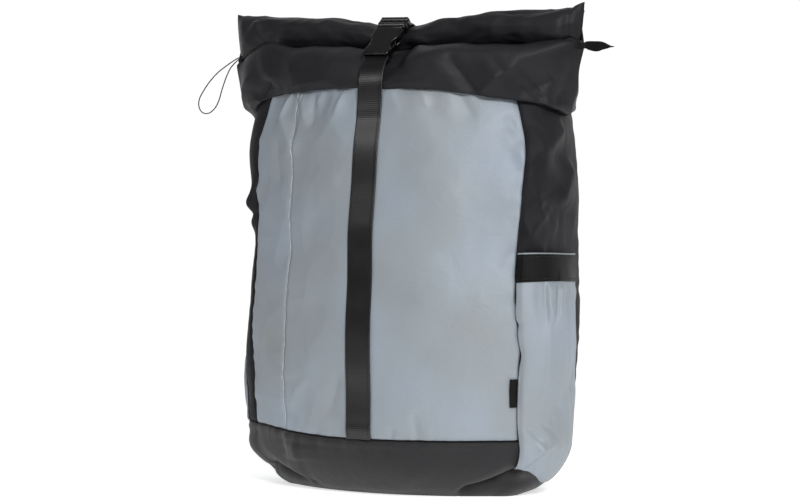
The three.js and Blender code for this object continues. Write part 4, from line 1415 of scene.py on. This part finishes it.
def make_back_panel():
    """Back panel: a slab between two grids, swelling between sewn channels."""
    z = np.linspace(BASE_SEAM, BACK_TOP, 60)[:, None]
    share = np.linspace(-0.99, 0.99, 56)[None]
    half, deep = body(z)[5:7]
    outside, inside = (
        np.stack(np.broadcast_arrays(half * share * inset, deep - depth, z), -1)
        for depth, inset in ((0.5, 1.0), (BACK_PAD, 0.97))
    )
    ring = np.concatenate([outside, inside[:, ::-1]], axis=1)
    low, high = (np.broadcast_to(ring[i].mean(0), (1,) + ring.shape[1:]) for i in (0, -1))
    points = np.concatenate([low, ring, high])
    columns = np.arange(ring.shape[1] + 1)[None]
    surface = outward(grid(points, columns, np.arange(len(points))[:, None], closed=True))

    def pinned(p):
        """Points held by the inner face, the rim and the sewn channels."""
        x, y, z = p.T
        half, deep = body(z)[5:7]
        held = (y < deep - 4) | (np.abs(x) > half - 5) | (z < BASE_SEAM + 5) | (z > BACK_TOP - 6)
        for channels, place in ((BACK_CHANNELS_X, x), (BACK_CHANNELS_Z, z)):
            for channel in channels:
                held |= np.abs(place - channel) < 2.2
        return held

    made = inflate("back_panel_pad", surface, 4, 4, 6, pinned, "back_panel")


def make_shoulder_straps():
    """Shoulder straps: a rounded slab carried along its line swells between its two ends. Round
    bindings run along both of its edges with a row of stitches on each face, and webbing and a ladder
    lock hang below it."""
    line = smooth_table([[i, *row] for i, row in enumerate(STRAP)])
    x, y, z, wide, thick = line(np.linspace(0, len(STRAP) - 1, 70))
    profile = rounded_rectangle(1, 1, 0.3, 6) * np.stack([wide - 3, thick - 3], -1)[:, None]
    web_line = smooth_path(LOWER_WEB, 1.5)
    for name, mirror in (("right", 1), ("left", -1)):
        path = np.stack([mirror * x, y, z], -1)

        def pinned(p, ends=path[[0, -1]]):
            """Points held at the two ends of the pad."""
            return np.linalg.norm(p[:, None] - ends[None], axis=2).min(1) < 9

        surface = sweep(path, (1, 0, 0), profile)
        made = inflate(name + "_strap_pad", surface, 3.4, 4, 2.5, pinned, name + "_shoulder_strap")
        along = unit(np.gradient(path, axis=0))
        across = unit(np.array([1.0, 0, 0]) - along * along[:, :1])
        normal = np.cross(across, along)
        bindings, rows = [], []
        for side in (-1, 1):
            edge = path + across * (side * (wide / 2 - 2.4))[:, None]
            bindings.append(sweep(edge[1:-1], (1, 0, 0), circle(16) * [3.1, 3.5]))
            for face in (-1, 1):
                seam = edge - across * (side * 2.0) + normal * (face * 3.3)
                rows.append(stitches(seam[2:-2], normal[2:-2] * face))
        piece(name + "_strap_binding", join(bindings), TAPE)
        piece(name + "_strap_stitches", join(rows), THREAD)
        lower = web_line * [mirror, 1, 1]
        web(name + "_lower_web", lower, (1, 0, 0), LOWER_WEBBING, LOWER_THICK, name + "_lower_webbing")
        make_ladder_lock(name, mirror)


def make_ladder_lock(name, mirror):
    """Ladder lock: a moulded frame with two cross bars and a thumb lip, lying in the strap's line."""
    points, quads, uv = join([
        *bar_pair(10.8, 13, -8, 6.6, -3, 3, 1.0),
        bar(-13, 13, 2.2, 6.6, -3, 3, 1.6, 1.2),
        bar(-12, 12, -0.8, 1.4, -2.8, 2.8, 0.9, 0.8),
        bar(-13, 13, -8, -5.2, 1.6, 4.4, 1.2, 0.9),
    ])
    turn = np.array(Matrix.Rotation(LOCK_TIP, 3, "X") @ Matrix.Rotation(-mirror * LOCK_LEAN, 3, "Y"))
    points = points[:, [0, 2, 1]] @ turn.T + np.array(LOCK_PLACE) * [mirror, 1, 1]
    surface = outward((points, quads, uv))
    piece(name + "_ladder_lock_frame", surface, ACETAL, name + "_ladder_lock")


def make_grab_loop():
    """Grab loop: webbing on edge that stands off the back panel as a power of a cosine of its place."""
    t = np.linspace(-1, 1, 90)
    y = 82 + GRAB_OUT * np.maximum(np.cos(t * math.pi / 2), 0) ** 0.8
    path = np.stack([GRAB_HALF * t, y, np.full_like(t, GRAB_HEIGHT)], -1)
    web("grab_loop_web", path, (0, 0, 1), LOWER_WEBBING, 2.0, "grab_loop")


def make_stage():
    """Round floor of white acrylic, lit a little from below, in a white surround that is bright
    behind the bag and below it and dim in front and above, with three soft lights: a key from the
    right, one overhead and a small one from the left."""
    rim = np.column_stack([FLOOR_REACH * circle(96), np.zeros(96)])
    mesh = bpy.data.meshes.new("floor")
    mesh.from_pydata(rim.tolist(), [], [list(range(96))])
    acrylic, _ = finish_of("lit_white_acrylic", Base_Color=linear("#f7f7f7"), Roughness=0.9,
                           Emission_Color=(1, 1, 1, 1), Emission_Strength=0.6)
    mesh.materials.append(acrylic)
    in_scene("floor", mesh)
    world = bpy.data.worlds.new("studio")
    bpy.context.scene.world = world
    world.use_nodes = True
    tree = world.node_tree
    way = add(tree, "TexCoord", {}).outputs["Generated"]
    toward = add(tree, "VectorMath", {0: way, 1: (-0.1, 0.99, -0.6)}, operation="DOT_PRODUCT")
    background = tree.nodes["Background"]
    background.inputs["Color"].default_value = (1, 1, 1, 1)
    glow = ramp(tree, toward.outputs["Value"], -0.5, 0.55, 0.1, 1.02)
    tree.links.new(glow, background.inputs["Strength"])
    for name, (place, wide, watts) in LIGHTS.items():
        data = bpy.data.lights.new(name, "AREA")
        data.shape = "DISK"
        data.size = wide
        data.energy = watts
        light = in_scene(name, data)
        light.location = place
        aim = Vector((0, 0, 0.23)) - Vector(place)
        light.rotation_euler = aim.to_track_quat("-Z", "Y").to_euler()
    bpy.context.scene.view_settings.view_transform = "Standard"


make_camera()
make_zip_loop()
make_walls()
make_base()
make_rolled_top()
make_pockets()
make_straps()
make_buckle()
make_side_label()
make_zip_end()
make_back_panel()
make_shoulder_straps()
make_grab_loop()
make_stage()
